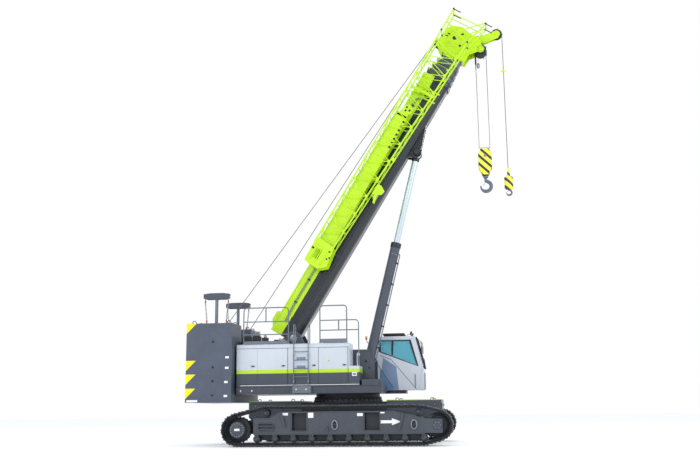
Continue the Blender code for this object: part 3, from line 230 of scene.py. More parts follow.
class Batch:
    """Many like details gathered into one named piece on one body, which is built by done()."""

    def __init__(self, name, body, material, place=SHIFT, bevel=0.0, replaces=()):
        self.name, self.body, self.material = name, body, material
        self.place, self.bevel, self.replaces = place, bevel, replaces
        self.points, self.faces = [], []
        if body:
            BATCHES.append(self)

    def add(self, points, faces, turn=None):
        start = len(self.points)
        self.points += [turn @ Vector(p) if turn is not None else Vector(p) for p in points]
        self.faces += [tuple(start + i for i in face) for face in faces]
        return self

    def box(self, low, high, turn=None):
        (a, b, c), (d, e, f) = low, high
        points = [(a, b, c), (d, b, c), (d, e, c), (a, e, c), (a, b, f), (d, b, f), (d, e, f), (a, e, f)]
        return self.add(points, [(3, 2, 1, 0), (4, 5, 6, 7), (0, 1, 5, 4), (1, 2, 6, 5), (2, 3, 7, 6),
            (3, 0, 4, 7)], turn)

    def boxes(self, *corners):
        for low, high in corners:
            self.box(low, high)
        return self

    def slab(self, x0, x1, ys, z0, z1):
        return self.box((x0, ys[0], z0), (x1, ys[1], z1))

    def prism(self, outline, axis, low, high, turn=None):
        order = {"X": (2, 0, 1), "Y": (0, 2, 1), "Z": (0, 1, 2)}[axis]
        count = len(outline)
        area = sum(a[0] * b[1] - b[0] * a[1] for a, b in zip(outline, list(outline[1:]) + [outline[0]]))
        loop = list(outline) if (area > 0) != (axis == "Y") else list(reversed(outline))
        points = [tuple((u, v, w)[i] for i in order) for w in (low, high) for u, v in loop]
        faces = [tuple(reversed(range(count))), tuple(range(count, 2 * count))]
        faces += [(i, (i + 1) % count, (i + 1) % count + count, i + count) for i in range(count)]
        return self.add(points, faces, turn)

    def rod(self, start, end, radius, sides=12, end_radius=None):
        return self.tube([start, end], radius, sides, end_radius=end_radius)

    def tube(self, path, radius, sides=8, closed=False, end_radius=None, radii=None):
        path = [Vector(p) for p in path]
        count = len(path)
        if radii is None:
            last = radius if end_radius is None else end_radius
            radii = [radius + (last - radius) * i / max(1, count - 1) for i in range(count)]
        points, side_vector = [], None
        for i, point in enumerate(path):
            before = path[i - 1] if (i or closed) else path[0]
            after = path[(i + 1) % count] if (i < count - 1 or closed) else path[-1]
            ahead = (after - before).normalized()
            if side_vector is None:
                side_vector = ahead.orthogonal().normalized()
            side_vector = (side_vector - ahead * side_vector.dot(ahead)).normalized()
            other = ahead.cross(side_vector)
            for k in range(sides):
                angle = tau * k / sides
                points.append(point + (side_vector * cos(angle) + other * sin(angle)) * radii[i])
        faces = []
        for i in range(count if closed else count - 1):
            j = (i + 1) % count
            faces += [(i * sides + k, i * sides + (k + 1) % sides, j * sides + (k + 1) % sides, j * sides + k)
                for k in range(sides)]
        if not closed:
            faces.append(tuple(reversed(range(sides))))
            faces.append(tuple(range((count - 1) * sides, count * sides)))
        return self.add(points, faces)

    def ring(self, centre, axis, radius, thick, sides=24, around=8):
        centre, axis = Vector(centre), Vector(axis).normalized()
        side = axis.orthogonal().normalized()
        other = axis.cross(side)
        path = [centre + (side * cos(tau * k / sides) + other * sin(tau * k / sides)) * radius
            for k in range(sides)]
        return self.tube(path, thick, around, closed=True)

    def lathe(self, profile, centre, axis, sides=20):
        """A closed turned form: (radius, height) pairs from end to end, the ends on the axis."""
        centre, axis = Vector(centre), Vector(axis).normalized()
        side = axis.orthogonal().normalized()
        other = axis.cross(side)
        points, rings = [], []
        for radius, height in profile:
            start = len(points)
            if radius < 1e-6:
                points.append(centre + axis * height)
                rings.append([start] * sides)
                continue
            for k in range(sides):
                angle = tau * k / sides
                points.append(centre + axis * height + (side * cos(angle) + other * sin(angle)) * radius)
            rings.append(list(range(start, start + sides)))
        faces = []
        for low, high in zip(rings, rings[1:]):
            for k in range(sides):
                face = (low[k], low[(k + 1) % sides], high[(k + 1) % sides], high[k])
                face = tuple(dict.fromkeys(face))
                if len(face) > 2:
                    faces.append(face)
        return self.add(points, faces)

    def disc(self, height, inner, outer, centre, axis, sides=20):
        """A round cap with a sloping rim."""
        profile = [(0, height), (inner, height), (outer, 0.0), (0, 0)]
        return self.lathe(profile, centre, axis, sides)

    def bolt(self, place, axis, size=0.02):
        place, axis = Vector(place), Vector(axis).normalized()
        self.rod(place, place + axis * size * 0.35, size * 0.85, 10)
        return self.rod(place + axis * size * 0.3, place + axis * size * 0.9, size * 0.6, 6)

    def bolts(self, places, axis, size=0.02):
        for place in places:
            self.bolt(place, axis, size)
        return self

    def done(self):
        mesh = bpy.data.meshes.new(self.name)
        mesh.from_pydata([tuple(p) for p in self.points], [], self.faces)
        mesh.transform(self.place)
        mesh.materials.append(self.material)
        mesh.shade_smooth()
        mesh.set_sharp_from_angle(angle=SHARP)
        made = bpy.data.objects.new(self.name, mesh)
        bpy.context.scene.collection.objects.link(made)
        if self.bevel:
            soften = made.modifiers.new("soften", "BEVEL")
            soften.width = self.bevel
            soften.segments = 2
            soften.limit_method = "ANGLE"
            soften.angle_limit = BEVEL_FROM
        if self.body:
            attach(made, self.body)
        if self.replaces:
            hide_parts(*self.replaces)
        return made


def on_turntable(name, material, bevel=0.0):
    return Batch(name, "turntable", material, bevel=bevel)


def on_cab(name, material, bevel=0.0):
    return Batch(name, "cab", material, bevel=bevel)


def on_boom(name, material, bevel=0.0):
    return Batch(name, "boom", material, BOOM, bevel)


def on_head(name, material, bevel=0.0):
    return Batch(name, "section_5", material, BOOM, bevel)


def circle(centre, radius, count):
    return [(centre[0] + radius * cos(tau * i / count), centre[1] + radius * sin(tau * i / count))
        for i in range(count)]


def arc_points(centre, radius, degrees):
    """Points in the XZ plane round a centre that has an x and a z."""
    return [(centre.x + radius * cos(a), centre.z + radius * sin(a)) for a in map(radians, degrees)]


def pair(side, near, far):
    """Two distances out from the middle as Y values on one side, lowest first."""
    return sorted((side * near, side * far))


def proud(face, side, depth):
    """The Y values of a plate that stands off a face, lowest first."""
    return sorted((face, face + side * depth))


def curve_through(corners, radius=0.08, steps=4):
    """A path whose corners are rounded."""
    corners = [Vector(c) for c in corners]
    path = [corners[0]]
    for before, corner, after in zip(corners, corners[1:], corners[2:]):
        reach = min(radius, (before - corner).length / 2, (after - corner).length / 2)
        start = corner + (before - corner).normalized() * reach
        end = corner + (after - corner).normalized() * reach
        for i in range(steps + 1):
            t = i / steps
            path.append(start.lerp(corner, t).lerp(corner.lerp(end, t), t))
    return path + [corners[-1]]


# ---- finishes on the fixed frame --------------------------------------------------------------------
FINISHES = {
    "lime_paint": LIME, "slate_paint": SLATE, "silver_paint": HOUSE, "charcoal_steel": DARK,
    "weight_paint": WEIGHT, "rod_chrome": CHROME, "galvanised_tube": TUBE, "hook_yellow": HOOK_PAINT,
    "tinted_glass": SIDE_GLASS, "seat_trim": FABRIC, "wire_rope": ROPE,
}
SPECIAL = {
    "boom_base_section": BOOM_PAINT, "cab_shell": CAB_PAINT, "cab_door": CAB_PAINT, "roof_guard": RUBBER,
    "windscreen": FRONT_GLASS, "right_side_frame": FRAME_PAINT, "left_side_frame": FRAME_PAINT,
    "car_body": DARK, "slew_ring": DARK,
}
for entry in frame["record"]["subparts"]:
    node = NODES[entry["node"]]
    node.data.materials.clear()
    node.data.materials.append(SPECIAL.get(entry["node"], FINISHES[entry["material_slot"]]))
    if not entry["node"].endswith("_counterweight"):
        node.data.shade_smooth()
        node.data.set_sharp_from_angle(angle=SHARP)


# ---- crawlers ---------------------------------------------------------------------------------------
BELT = 0.13
TRACK_Y = 2.3
FRAME_FACE, FRAME_INNER_FACE = 2.6003, 2.0197     # just off the sides of a side frame
HUB_FACE = 2.5702
REAR_WHEEL, FRONT_WHEEL = (-3.198, 0.53), (3.113, 0.635)
REAR_CARRIER, FRONT_CARRIER = (-2.298, 1.0497), (2.533, 1.0497)
CARRIER_RADIUS, ROLLER_RADIUS, ROLLER_COUNT = 0.11, 0.118, 10
LAST_ROLLER = (FRONT_WHEEL[0] - 0.42, ROLLER_RADIUS + BELT)
WHEELS = [(*REAR_WHEEL, 0.53), (*LAST_ROLLER, ROLLER_RADIUS + BELT), (*FRONT_WHEEL, 0.515),
    (*FRONT_CARRIER, CARRIER_RADIUS + BELT), (*REAR_CARRIER, CARRIER_RADIUS + BELT)]


def belt_pieces():
    tangents = []
    for (x0, z0, r0), (x1, z1, r1) in zip(WHEELS, WHEELS[1:] + WHEELS[:1]):
        span = hypot(x1 - x0, z1 - z0)
        tangents.append(atan2(z1 - z0, x1 - x0) - acos((r0 - r1) / span))
    pieces = []
    for index, (x, z, radius) in enumerate(WHEELS):
        enters, leaves = tangents[index - 1], tangents[index]
        sweep = (leaves - enters) % tau
        pieces.append((sweep * radius, "arc", (x, z, radius, enters, sweep)))
        nx, nz, nr = WHEELS[(index + 1) % len(WHEELS)]
        start = (x + radius * cos(leaves), z + radius * sin(leaves))
        end = (nx + nr * cos(leaves), nz + nr * sin(leaves))
        pieces.append((dist(start, end), "line", (start, end, leaves)))
    return pieces


BELT_LINE = belt_pieces()
BELT_LENGTH = sum(piece[0] for piece in BELT_LINE)
SHOE_LENGTH = 0.25
SHOES = round(BELT_LENGTH / SHOE_LENGTH)
PITCH = BELT_LENGTH / SHOES


def belt_at(distance):
    """Point on the outer line of the belt and the angle of its outward normal."""
    distance %= BELT_LENGTH
    for length, kind, data in BELT_LINE:
        if distance <= length:
            break
        distance -= length
    share = min(1.0, distance / length)
    if kind == "arc":
        x, z, radius, enters, sweep = data
        angle = enters + sweep * share
        return x + radius * cos(angle), z + radius * sin(angle), angle
    start, end, out = data
    return start[0] + (end[0] - start[0]) * share, start[1] + (end[1] - start[1]) * share, out


def shoe_turn(index, side):
    """Frame of a shoe: X along the belt, Y across, Z out."""
    x0, z0, _ = belt_at((index + 0.02) * PITCH)
    x1, z1, _ = belt_at((index + 0.98) * PITCH)
    middle = belt_at((index + 0.5) * PITCH)
    along = Vector((x1 - x0, 0, z1 - z0)).normalized()
    out = Vector((cos(middle[2]), 0, sin(middle[2])))
    out = (out - along * out.dot(along)).normalized()
    turn = Matrix((along, Vector((0, 1, 0)), out)).transposed().to_4x4()
    return Matrix.Translation(((x0 + x1) / 2, side * TRACK_Y, (z0 + z1) / 2)) @ turn


SHOE_PROFILE = [(-0.118, -0.05), (0.118, -0.05), (0.12, -0.034), (0.094, -0.026), (0.086, -0.003),
    (0.06, -0.003), (0.05, -0.026), (-0.05, -0.026), (-0.06, -0.003), (-0.086, -0.003), (-0.094, -0.026),
    (-0.12, -0.034)]


def track_chain(side, label):
    body = f"{label}_crawler"
    shoes = Batch(f"{label}_track_shoes", body, TRACK, replaces=[f"{label}_track"])
    links = Batch(f"{label}_track_links", body, LINK)
    for index in range(SHOES):
        turn = shoe_turn(index, side)
        shoes.prism(SHOE_PROFILE, "Y", -0.397, 0.397, turn)
        for y in (-0.1, 0.1):
            for x in (-0.028, 0.028):
                shoes.rod(turn @ Vector((x, y, -0.028)), turn @ Vector((x, y, -0.01)), 0.014, 6)
        for y in (-0.13, 0.07):
            links.prism([(-0.13, -0.052), (0.13, -0.052), (0.14, -0.09), (0.11, -0.127), (-0.11, -0.127),
                (-0.14, -0.09)], "Y", y + (0.03 if index % 2 else 0.0),
                y + 0.035 + (0.03 if index % 2 else 0.0), turn)
        links.rod(turn @ Vector((PITCH / 2, -0.14, -0.09)), turn @ Vector((PITCH / 2, 0.14, -0.09)), 0.026, 8)


def running_gear(side, label):
    """Hub covers, bolts, roller caps and drive teeth."""
    body = f"{label}_crawler"
    out = Vector((0, side, 0))
    hub = Batch(f"{label}_hub_covers", body, FRAME_PAINT)
    x, z = REAR_WHEEL
    face = side * HUB_FACE
    hub.lathe([(0, 0.03), (0.14, 0.03), (0.155, 0.022), (0.235, 0.018), (0.252, 0.004), (0.262, -0.05),
        (0.262, -0.2), (0, -0.2)], (x, face, z), out, 32)
    x, z = FRONT_WHEEL
    hub.lathe([(0, 0.045), (0.07, 0.045), (0.085, 0.032), (0.12, 0.026), (0.135, 0.0), (0, 0.0)],
        (x, side * 2.5995, z), out, 24)
    bolts = Batch(f"{label}_gear_bolts", body, STEEL)
    x, z = REAR_WHEEL
    for u, v in circle((x, z), 0.205, 16):
        bolts.bolt((u, face + side * 0.018, v), out, 0.022)
    for u, v in circle((FRONT_WHEEL[0], FRONT_WHEEL[1]), 0.1, 6):
        bolts.bolt((u, side * 2.6255, v), out, 0.018)
    first, last = REAR_WHEEL[0] + 0.62, LAST_ROLLER[0]
    height = BELT + ROLLER_RADIUS
    caps = Batch(f"{label}_roller_caps", body, FRAME_PAINT)
    for index in range(ROLLER_COUNT):
        x = first + (last - first) * index / (ROLLER_COUNT - 1)
        for y, way in ((side * 2.5105, side), (side * 2.1095, -side)):
            caps.lathe([(0, 0.045), (0.045, 0.045), (0.06, 0.03), (0.085, 0.022), (0.095, 0.0), (0, 0.0)],
                (x, y, height), (0, way, 0), 18)
            caps.prism([(x - 0.075, 0.371), (x + 0.075, 0.371), (x + 0.05, height + 0.01),
                (x - 0.05, height + 0.01)], "Y", min(y, y + way * 0.03), max(y, y + way * 0.03))
        for dx in (-0.045, 0.045):
            bolts.bolt((x + dx, side * 2.541, 0.345), out, 0.012)
    for x, z in (REAR_CARRIER, FRONT_CARRIER):
        for way in (-1, 1):
            caps.lathe([(0, 0.04), (0.05, 0.04), (0.07, 0.02), (0.1, 0.0), (0, 0.0)],
                (x, side * 2.31 + way * 0.161, z), (0, way, 0), 18)
    teeth = Batch(f"{label}_drive_teeth", body, LINK)
    x, z = REAR_WHEEL
    for k in range(21):
        angle = tau * k / 21
        turn = Matrix.Translation((x, side * TRACK_Y, z)) @ Matrix.Rotation(-angle, 4, "Y")
        teeth.prism([(0.33, -0.045), (0.395, -0.026), (0.425, -0.014), (0.425, 0.014), (0.395, 0.026),
            (0.33, 0.045)], "Y", -0.03, 0.03, turn)


def frame_details(side, label):
    """Plates, ribs, eyes and covers on a side frame."""
    body = f"{label}_crawler"
    out = Vector((0, side, 0))
    face = side * FRAME_FACE
    inner_face = side * FRAME_INNER_FACE

    def span(depth):
        return proud(face, side, depth)

    ribs = Batch(f"{label}_frame_ribs", body, FRAME_PAINT, bevel=0.004)
    low, high = span(0.016)
    ribs.box((-2.66, low, 0.371), (2.69, high, 0.395))
    ribs.prism([(-2.66, 0.86), (-2.14, 0.86), (-1.8, 1.045), (1.74, 1.045), (2.69, 0.835), (2.69, 0.858),
        (1.75, 1.078), (-1.8, 1.078), (-2.15, 0.888), (-2.66, 0.888)], "Y", *span(0.012))
    for x in (-1.2, 1.1):
        for a, b in ((x - 0.26, x - 0.232), (x + 0.232, x + 0.26)):
            ribs.box((a, low, 0.48), (b, high, 1.05))
        ribs.boxes(((x - 0.26, low, 0.475), (x + 0.26, high, 0.4985)),
            ((x - 0.26, low, 1.032), (x + 0.26, high, 1.052)))
    wedge = span(0.085)
    ribs.prism([(-1.79, 0.98), (-1.73, 1.02), (-1.62, 0.64), (-1.66, 0.6)], "Y", *wedge)
    ribs.prism([(-0.335, 0.6), (-0.3, 0.62), (-0.25, 0.47), (-0.29, 0.46)], "Y", *wedge)
    ribs.prism([(2.1, 0.98), (2.05, 1.00), (1.9, 0.52), (1.96, 0.5)], "Y", *wedge)
    ribs.slab(-2.5, -2.02, span(0.07), 0.62, 0.655)
    ribs.slab(-2.52, -1.99, span(0.09), 0.535, 0.565)
    for x in (-2.5, -2.02):
        ribs.prism([(x - 0.012, 0.565), (x + 0.012, 0.565), (x + 0.012, 0.7), (x - 0.012, 0.7)], "Y",
            *span(0.075))
    eyes = Batch(f"{label}_frame_eyes", body, STEEL)
    for x in (-0.07, 2.4):
        path = [(x + 0.085 * cos(a), face + side * 0.03, 0.66 + 0.135 * sin(a))
            for a in (tau * i / 20 for i in range(20))]
        eyes.tube(path, 0.022, 8, closed=True)
    # dark discs in the eye holes and a dark slab inside the bracket: painted shade in the recesses
    hole_shade = Batch(f"{label}_frame_recess_shade", body, RUBBER)
    for x in (-0.07, 2.4):
        for z in (0.6, 0.73):
            hole_shade.disc(0.012, 0.05, 0.058, (x, face, z), out, 14)
    hole_shade.slab(-2.48, -2.05, span(0.01), 0.665, 0.72)
    plates = Batch(f"{label}_frame_plates", body, WHITE, bevel=0.003)
    for a, b, c, d in ((-1.735, 0.965, -1.555, 1.045), (-0.915, 0.885, -0.745, 1.045),
            (0.635, 0.925, 0.815, 1.015), (1.345, 1.000, 1.495, 1.045)):
        plates.slab(a, c, span(0.005), b, d)
    plates.slab(REAR_WHEEL[0] - 0.085, REAR_WHEEL[0] + 0.085, span(0.006), 0.5, 0.57)
    arrow = [(1.33, 0.7), (1.72, 0.7), (1.72, 0.64), (2.02, 0.745), (1.72, 0.85), (1.72, 0.79), (1.33, 0.79),
        (1.4, 0.745)]
    plates.prism(arrow, "Y", *span(0.004))
    inner = Batch(f"{label}_inner_covers", body, SLATE, bevel=0.004)
    for x in (-0.6, 0.3):
        inner.slab(x - 0.25, x + 0.25, proud(inner_face, -side, 0.02), 0.55, 0.9)
    motor = (REAR_WHEEL[0], side * 2.0195, REAR_WHEEL[1])
    inner.lathe([(0, 0.1), (0.1, 0.1), (0.13, 0.08), (0.16, 0.0), (0, 0.0)], motor, (0, -side, 0), 24)
    hoses = Batch(f"{label}_drive_hoses", body, RUBBER)
    for k in range(3):
        z = 0.52 + 0.06 * k
        hoses.tube(curve_through([(-3.12 + 0.03 * k, side * (1.975 - 0.01 * k), z),
            (-2.6, side * 1.975, z + 0.02), (-2.3, side * 1.985, 0.7 + 0.03 * k),
            (-1.5, side * 1.985, 0.72 + 0.03 * k)], 0.15), 0.014, 8)


for hand, title in ((-1, "right"), (1, "left")):
    track_chain(hand, title)
    running_gear(hand, title)
    frame_details(hand, title)


# ---- lower works ------------------------------------------------------------------------------------
lower = Batch("ring_bolts", "undercarriage", STEEL)
for angle in range(0, 360, 9):
    a = radians(angle + 4)
    lower.bolt((1.165 * cos(a), 1.165 * sin(a), 1.4303), (0, 0, 1), 0.02)
teeth = Batch("ring_teeth", "undercarriage", DARK)
for k in range(90):
    a = tau * k / 90
    turn = Matrix.Rotation(a, 4, "Z")
    teeth.prism([(1.118, -0.026), (1.148, -0.013), (1.148, 0.013), (1.118, 0.026)], "Z", 1.44, 1.54, turn)
trim = Batch("ballast_edges", "undercarriage", LIME)
for x0, x1 in ((1.43, 3.205), (-3.205, -1.43)):
    for y in (-1.0515, 1.0435):
        trim.box((x0, y, 1.408), (x1, y + 0.008, 1.428))
eyes = Batch("ballast_eyes", "undercarriage", STEEL)
for x in (1.75, 2.9, -1.75, -2.9):
    for y in (-0.8, 0.8):
        eyes.ring((x, y, 1.435), (0, 1, 0), 0.055, 0.014, 16, 6)
plates = Batch("ballast_plates", "undercarriage", SLATE, bevel=0.006)
for way in (-1, 1):
    end = way * 3.2103
    plates.box((min(end, end + way * 0.014), -0.85, 0.95), (max(end, end + way * 0.014), 0.85, 1.32))
    for y in (-1.0655, 1.0505):
        plates.box((way * 2.32 - 0.75, y, 0.86), (way * 2.32 + 0.75, y + 0.015, 1.33))
bolts = Batch("ballast_bolts", "undercarriage", STEEL)
for way in (-1, 1):
    for y in (-0.78, 0.78):
        for z in (1.02, 1.25):
            bolts.bolt((way * 3.2243, y, z), (way, 0, 0), 0.028)
    for y, side in ((-1.0655, -1), (1.0655, 1)):
        for x in (1.65, 2.98):
            for z in (0.92, 1.27):
                bolts.bolt((way * x, y, z), (0, side, 0), 0.022)


HOUSE_FACE, HOUSE_SKIN = 1.4803, 1.4805     # just off the sides of the houses and the deck
HOUSE_ROOF = 3.2855
CHEEK_FACE = 0.5503
WEIGHT_FACE, WEIGHT_SKIN, WEIGHT_ROOF = 1.8503, 1.8502, 4.0003
WINCH_Z = 3.05
RAIL_Y = -1.4
LIFT_X, LIFT_Y = -4.28, 1.4

# ---- turntable --------------------------------------------------------------------------------------
on_turntable("deck_edges", FRAME_PAINT, 0.003).boxes(((-3.545, -1.4975, 1.885), (-1.62, -HOUSE_SKIN, 1.905)),
    ((-0.995, -1.4975, 1.885), (1.278, -HOUSE_SKIN, 1.905)),
    ((-3.545, HOUSE_SKIN, 1.885), (0.615, 1.4975, 1.905)),
    ((-3.545, -1.4975, 1.652), (1.278, -HOUSE_SKIN, 1.668)),
    ((-3.545, HOUSE_SKIN, 1.652), (0.615, 1.4975, 1.668)), ((1.2805, -1.46, 1.7), (1.292, -0.58, 2.05)))
grip = on_turntable("deck_chequer", CHEQUER)
for row in range(14):
    for column in range(14):
        x, y = 0.7 + row * 0.04, -1.42 + column * 0.06
        tilt = Matrix.Translation((x, y, 2.0903)) @ Matrix.Rotation(radians(45 if (row + column) % 2 else -45),
            4, "Z")
        grip.prism([(-0.018, 0), (0, 0.005), (0.018, 0), (0, -0.005)], "Z", 0, 0.004, tilt)
marks = on_turntable("deck_marks", WHITE)
marks.box((-3.405, -1.488, 1.73), (-3.375, -HOUSE_SKIN, 1.8))
marks.disc(0.008, 0.022, 0.028, (-3.01, -HOUSE_SKIN, 1.763), (0, -1, 0), 14)
for x in (-1.49, -1.16):
    marks.disc(0.008, 0.022, 0.026, (x, -1.6305, 1.79), (0, -1, 0), 12)

# cheeks, boom foot and luffing foot
cheek = on_turntable("cheek_plates", SLATE, 0.004)
for side in (-1, 1):
    face, out = side * 0.5502, side * 0.566
    low, high = sorted((face, out))
    for outline in ([(-5.0, 3.38), (-2.35, 3.38), (-2.35, 3.44), (-5.0, 3.44)],
            [(-1.25, 3.05), (0.78, 3.05), (0.8, 3.1), (-1.25, 3.1)],
            [(0.3, 1.95), (0.36, 1.95), (0.6, 3.05), (0.53, 3.05)]):
        cheek.prism(outline, "Y", low, high)
    for x in (-4.2, -3.2):
        cheek.box((x - 0.02, low, 3.3), (x + 0.02, high, 3.38))
pins = on_turntable("foot_pin_covers", STEEL)
for side in (-1, 1):
    pins.lathe([(0, 0.03), (0.1, 0.03), (0.125, 0.022), (0.135, 0.0), (0, 0)], (-1.8, side * CHEEK_FACE, 3.53),
        (0, side, 0), 24)
    pins.lathe([(0, 0.05), (0.075, 0.05), (0.09, 0.035), (0.1, 0.0), (0, 0)], (0.645, side * 0.2603, 2.36),
        (0, side, 0), 24)
    pins.bolts([(u, side * 0.572, v) for u, v in circle((-1.8, 3.53), 0.105, 8)], (0, side, 0), 0.014)
# dark discs on the cheek plates: painted shade in the openings
opening_shade = on_turntable("cheek_opening_shade", RUBBER)
for x, z, r in ((0.46, 2.78, 0.055), (0.7, 2.72, 0.045), (0.8, 2.5, 0.035), (0.74, 2.1, 0.06),
        (0.9, 2.02, 0.045)):
    for side in (-1, 1):
        opening_shade.disc(0.006, r * 0.8, r, (x, side * CHEEK_FACE, z), (0, side, 0), 16)
hoses = on_turntable("foot_hoses", RUBBER)
for k in range(5):
    y = -0.44 + 0.035 * k
    hoses.tube(curve_through([(0.3, y, 1.93), (0.28 + 0.03 * k, y, 2.35), (-0.3, y, 2.75 + 0.03 * k),
        (-1.2, y, 2.6), (-2.3, y, 2.55)], 0.3, 6), 0.016, 8)
for k in range(3):
    hoses.tube(curve_through([(0.95, -0.4 + 0.05 * k, 1.92), (1.05, -0.4 + 0.05 * k, 2.05),
        (1.1, -0.1 + 0.1 * k, 2.0), (1.12, 0.4, 1.95 + 0.02 * k)], 0.1), 0.014, 8)
lamp = on_turntable("deck_work_lamp", WHITE, 0.004)
lamp.lathe([(0, 0.07), (0.05, 0.068), (0.065, 0.05), (0.06, 0.0), (0, 0)], (0.42, -0.62, 2.95), (0.9, -0.3, 0),
    18)
lamp.box((0.395, -0.64, 2.54), (0.42, -0.61, 2.95))

# winches
for x, title in ((-4.62, "main"), (-3.78, "aux")):
    rope = on_turntable(f"{title}_winch_rope", ROPE)
    for k in range(31):
        rope.ring((x, -0.405 + 0.027 * k, WINCH_Z), (0, 1, 0), 0.294, 0.0132, 32, 6)
    gear = on_turntable(f"{title}_winch_covers", SLATE)
    for side in (-1, 1):
        for u, v in circle((x, WINCH_Z), 0.335, 12):
            gear.bolt((u, side * 0.4, v), (0, -side, 0), 0.014)
        gear.lathe([(0, 0.045), (0.13, 0.045), (0.17, 0.02), (0.19, 0.0), (0, 0)],
            (x, side * CHEEK_FACE, WINCH_Z), (0, side, 0), 24)

# machinery on the house roof beside the boom foot
on_turntable("roof_beam", FRAME_PAINT, 0.008).boxes(((-3.42, -0.86, HOUSE_ROOF), (-2.05, -0.74, 3.4)),
    ((-3.3, -1.3, HOUSE_ROOF), (-2.95, -0.92, 3.33)), ((-2.45, -0.7, HOUSE_ROOF), (-2.1, -0.62, 3.5)))
dark = on_turntable("roof_machinery", DARK, 0.01)
dark.boxes(((-3.5, -0.98, HOUSE_ROOF), (-3.18, -0.66, 3.6)), ((-3.12, -0.96, 3.401), (-2.88, -0.7, 3.62)),
    ((-2.82, -0.94, 3.401), (-2.62, -0.72, 3.56)), ((-3.5, 0.7, HOUSE_ROOF), (-2.7, 1.2, 3.42)))
cans = on_turntable("roof_filters", STEEL)
for x in (-3.06, -2.94):
    cans.lathe([(0, 0.16), (0.035, 0.16), (0.045, 0.14), (0.045, 0.02), (0.04, 0), (0, 0)], (x, -0.83, 3.6205),
        (0, 0, 1), 16)
cans.lathe([(0, 0.09), (0.03, 0.09), (0.05, 0.06), (0.05, 0.0), (0, 0)], (-2.72, -0.83, 3.5605), (0, 0, 1), 16)
on_turntable("exhaust_outlet", STEEL).tube(curve_through([(-2.0, -1.05, HOUSE_ROOF), (-2.0, -1.05, 3.42),
    (-2.2, -1.05, 3.46)], 0.08), 0.06, 16)

# houses: seams, latches, rims and sills
for side, title, seams, latches, front in ((-1, "right", (-1.798, -0.772, 0.216),
        (-2.993, -1.959, -0.929, 0.079), 0.26),
        (1, "left", (-2.716, -1.684, -0.6), (-1.86, -1.55, -0.2), -0.1)):
    face = side * HOUSE_FACE

    def skin(depth):
        return proud(face, side, depth)

    dark = on_turntable(f"{title}_house_seams", RUBBER)
    for x in seams:
        dark.slab(x - 0.006, x + 0.006, skin(0.0015), 1.93, 3.16)
    dark.slab(-3.53, front - 0.01, skin(0.0015), 3.148, 3.158)
    for x in latches:
        dark.slab(x - 0.045, x + 0.045, skin(0.014), 2.548, 2.592)
        dark.slab(x + 0.055, x + 0.075, skin(0.01), 2.556, 2.584)
    on_turntable(f"{title}_house_rims", SILVER, 0.003).slab(-3.54, front, skin(0.01), 3.262, 3.284)
    on_turntable(f"{title}_house_sill", WHITE, 0.002).slab(-3.41, 0.575 if side < 0 else front, skin(0.006),
        1.927, 1.945)
    lines = on_turntable(f"{title}_latch_marks", STEEL, 0.002)
    for x in latches:
        lines.slab(x - 0.03, x + 0.01, skin(0.018), 2.56, 2.58)

# step pockets, plates, louvres, hatches and rear fittings
sheet = on_turntable("step_pocket_panel", BAND_BLUE, 0.003)
for z in (2.52, 2.8):
    sheet.boxes(((-1.5, -1.4865, z - 0.05), (-1.2, -HOUSE_SKIN, z + 0.05)),
        ((-1.5, -1.494, z - 0.062), (-1.2, -HOUSE_SKIN, z - 0.05)))
on_turntable("door_round_mark", LIME).disc(0.006, 0.028, 0.036, (-0.42, -HOUSE_FACE, 2.72), (0, -1, 0), 18)
on_turntable("locker_plate", WHITE, 0.002).box((0.34, -1.485, 2.205), (0.5, -HOUSE_SKIN, 2.325))
on_turntable("locker_mark", TUBE).box((0.365, -1.4865, 2.235), (0.475, -1.4852, 2.295))
slats = on_turntable("left_house_louvres", DARK)
for row in range(11):
    z = 2.52 + row * 0.05
    turn = Matrix.Translation((0, HOUSE_SKIN, z)) @ Matrix.Rotation(radians(28), 4, "X")
    slats.box((-1.6, 0.0, -0.004), (-0.66, 0.018, 0.03), turn)
slats = on_turntable("roof_louvres", DARK)
for side in (-1, 1):
    for row in range(14):
        turn = Matrix.Translation((-1.62 + row * 0.09, side * 1.02, 3.2905)) @ Matrix.Rotation(radians(30), 4,
            "Y")
        slats.box((-0.03, -0.32, 0.0), (0.03, 0.32, 0.006), turn)
on_turntable("roof_hatches", SILVER, 0.006).boxes(((-0.62, -1.36, HOUSE_ROOF), (0.1, -0.7, 3.305)),
    ((-2.6, 0.72, HOUSE_ROOF), (-1.85, 1.36, 3.305)), ((-1.75, -1.38, HOUSE_ROOF), (-0.32, -0.68, 3.294)),
    ((-1.75, 0.68, HOUSE_ROOF), (-0.32, 1.38, 3.294)))
grab = on_turntable("left_grab_rails", TUBE)
for x in (-2.85, -0.42):
    grab.tube(curve_through([(x, 1.481, 2.1), (x, 1.54, 2.1), (x, 1.54, 2.85), (x, 1.481, 2.85)], 0.04), 0.014,
        10)
rear = on_turntable("rear_wall_fittings", DARK, 0.004)
for y in (-0.33, 0.0, 0.33):
    rear.box((-4.965, y - 0.1, 2.05), (-4.9503, y + 0.1, 2.48))
rear = on_turntable("rear_lamps", RED, 0.006)
for side in (-1, 1):
    rear.box((-5.182, side * 1.6 - 0.13, 1.56), (-5.1703, side * 1.6 + 0.13, 1.66))
rear = on_turntable("rear_lamp_frames", RUBBER, 0.004)
for side in (-1, 1):
    rear.boxes(((-5.178, side * 1.6 - 0.15, 1.54), (-5.1703, side * 1.6 + 0.15, 1.68)),
        ((-5.178, side * 0.9 - 0.09, 3.00), (-5.1703, side * 0.9 + 0.09, 3.06)))

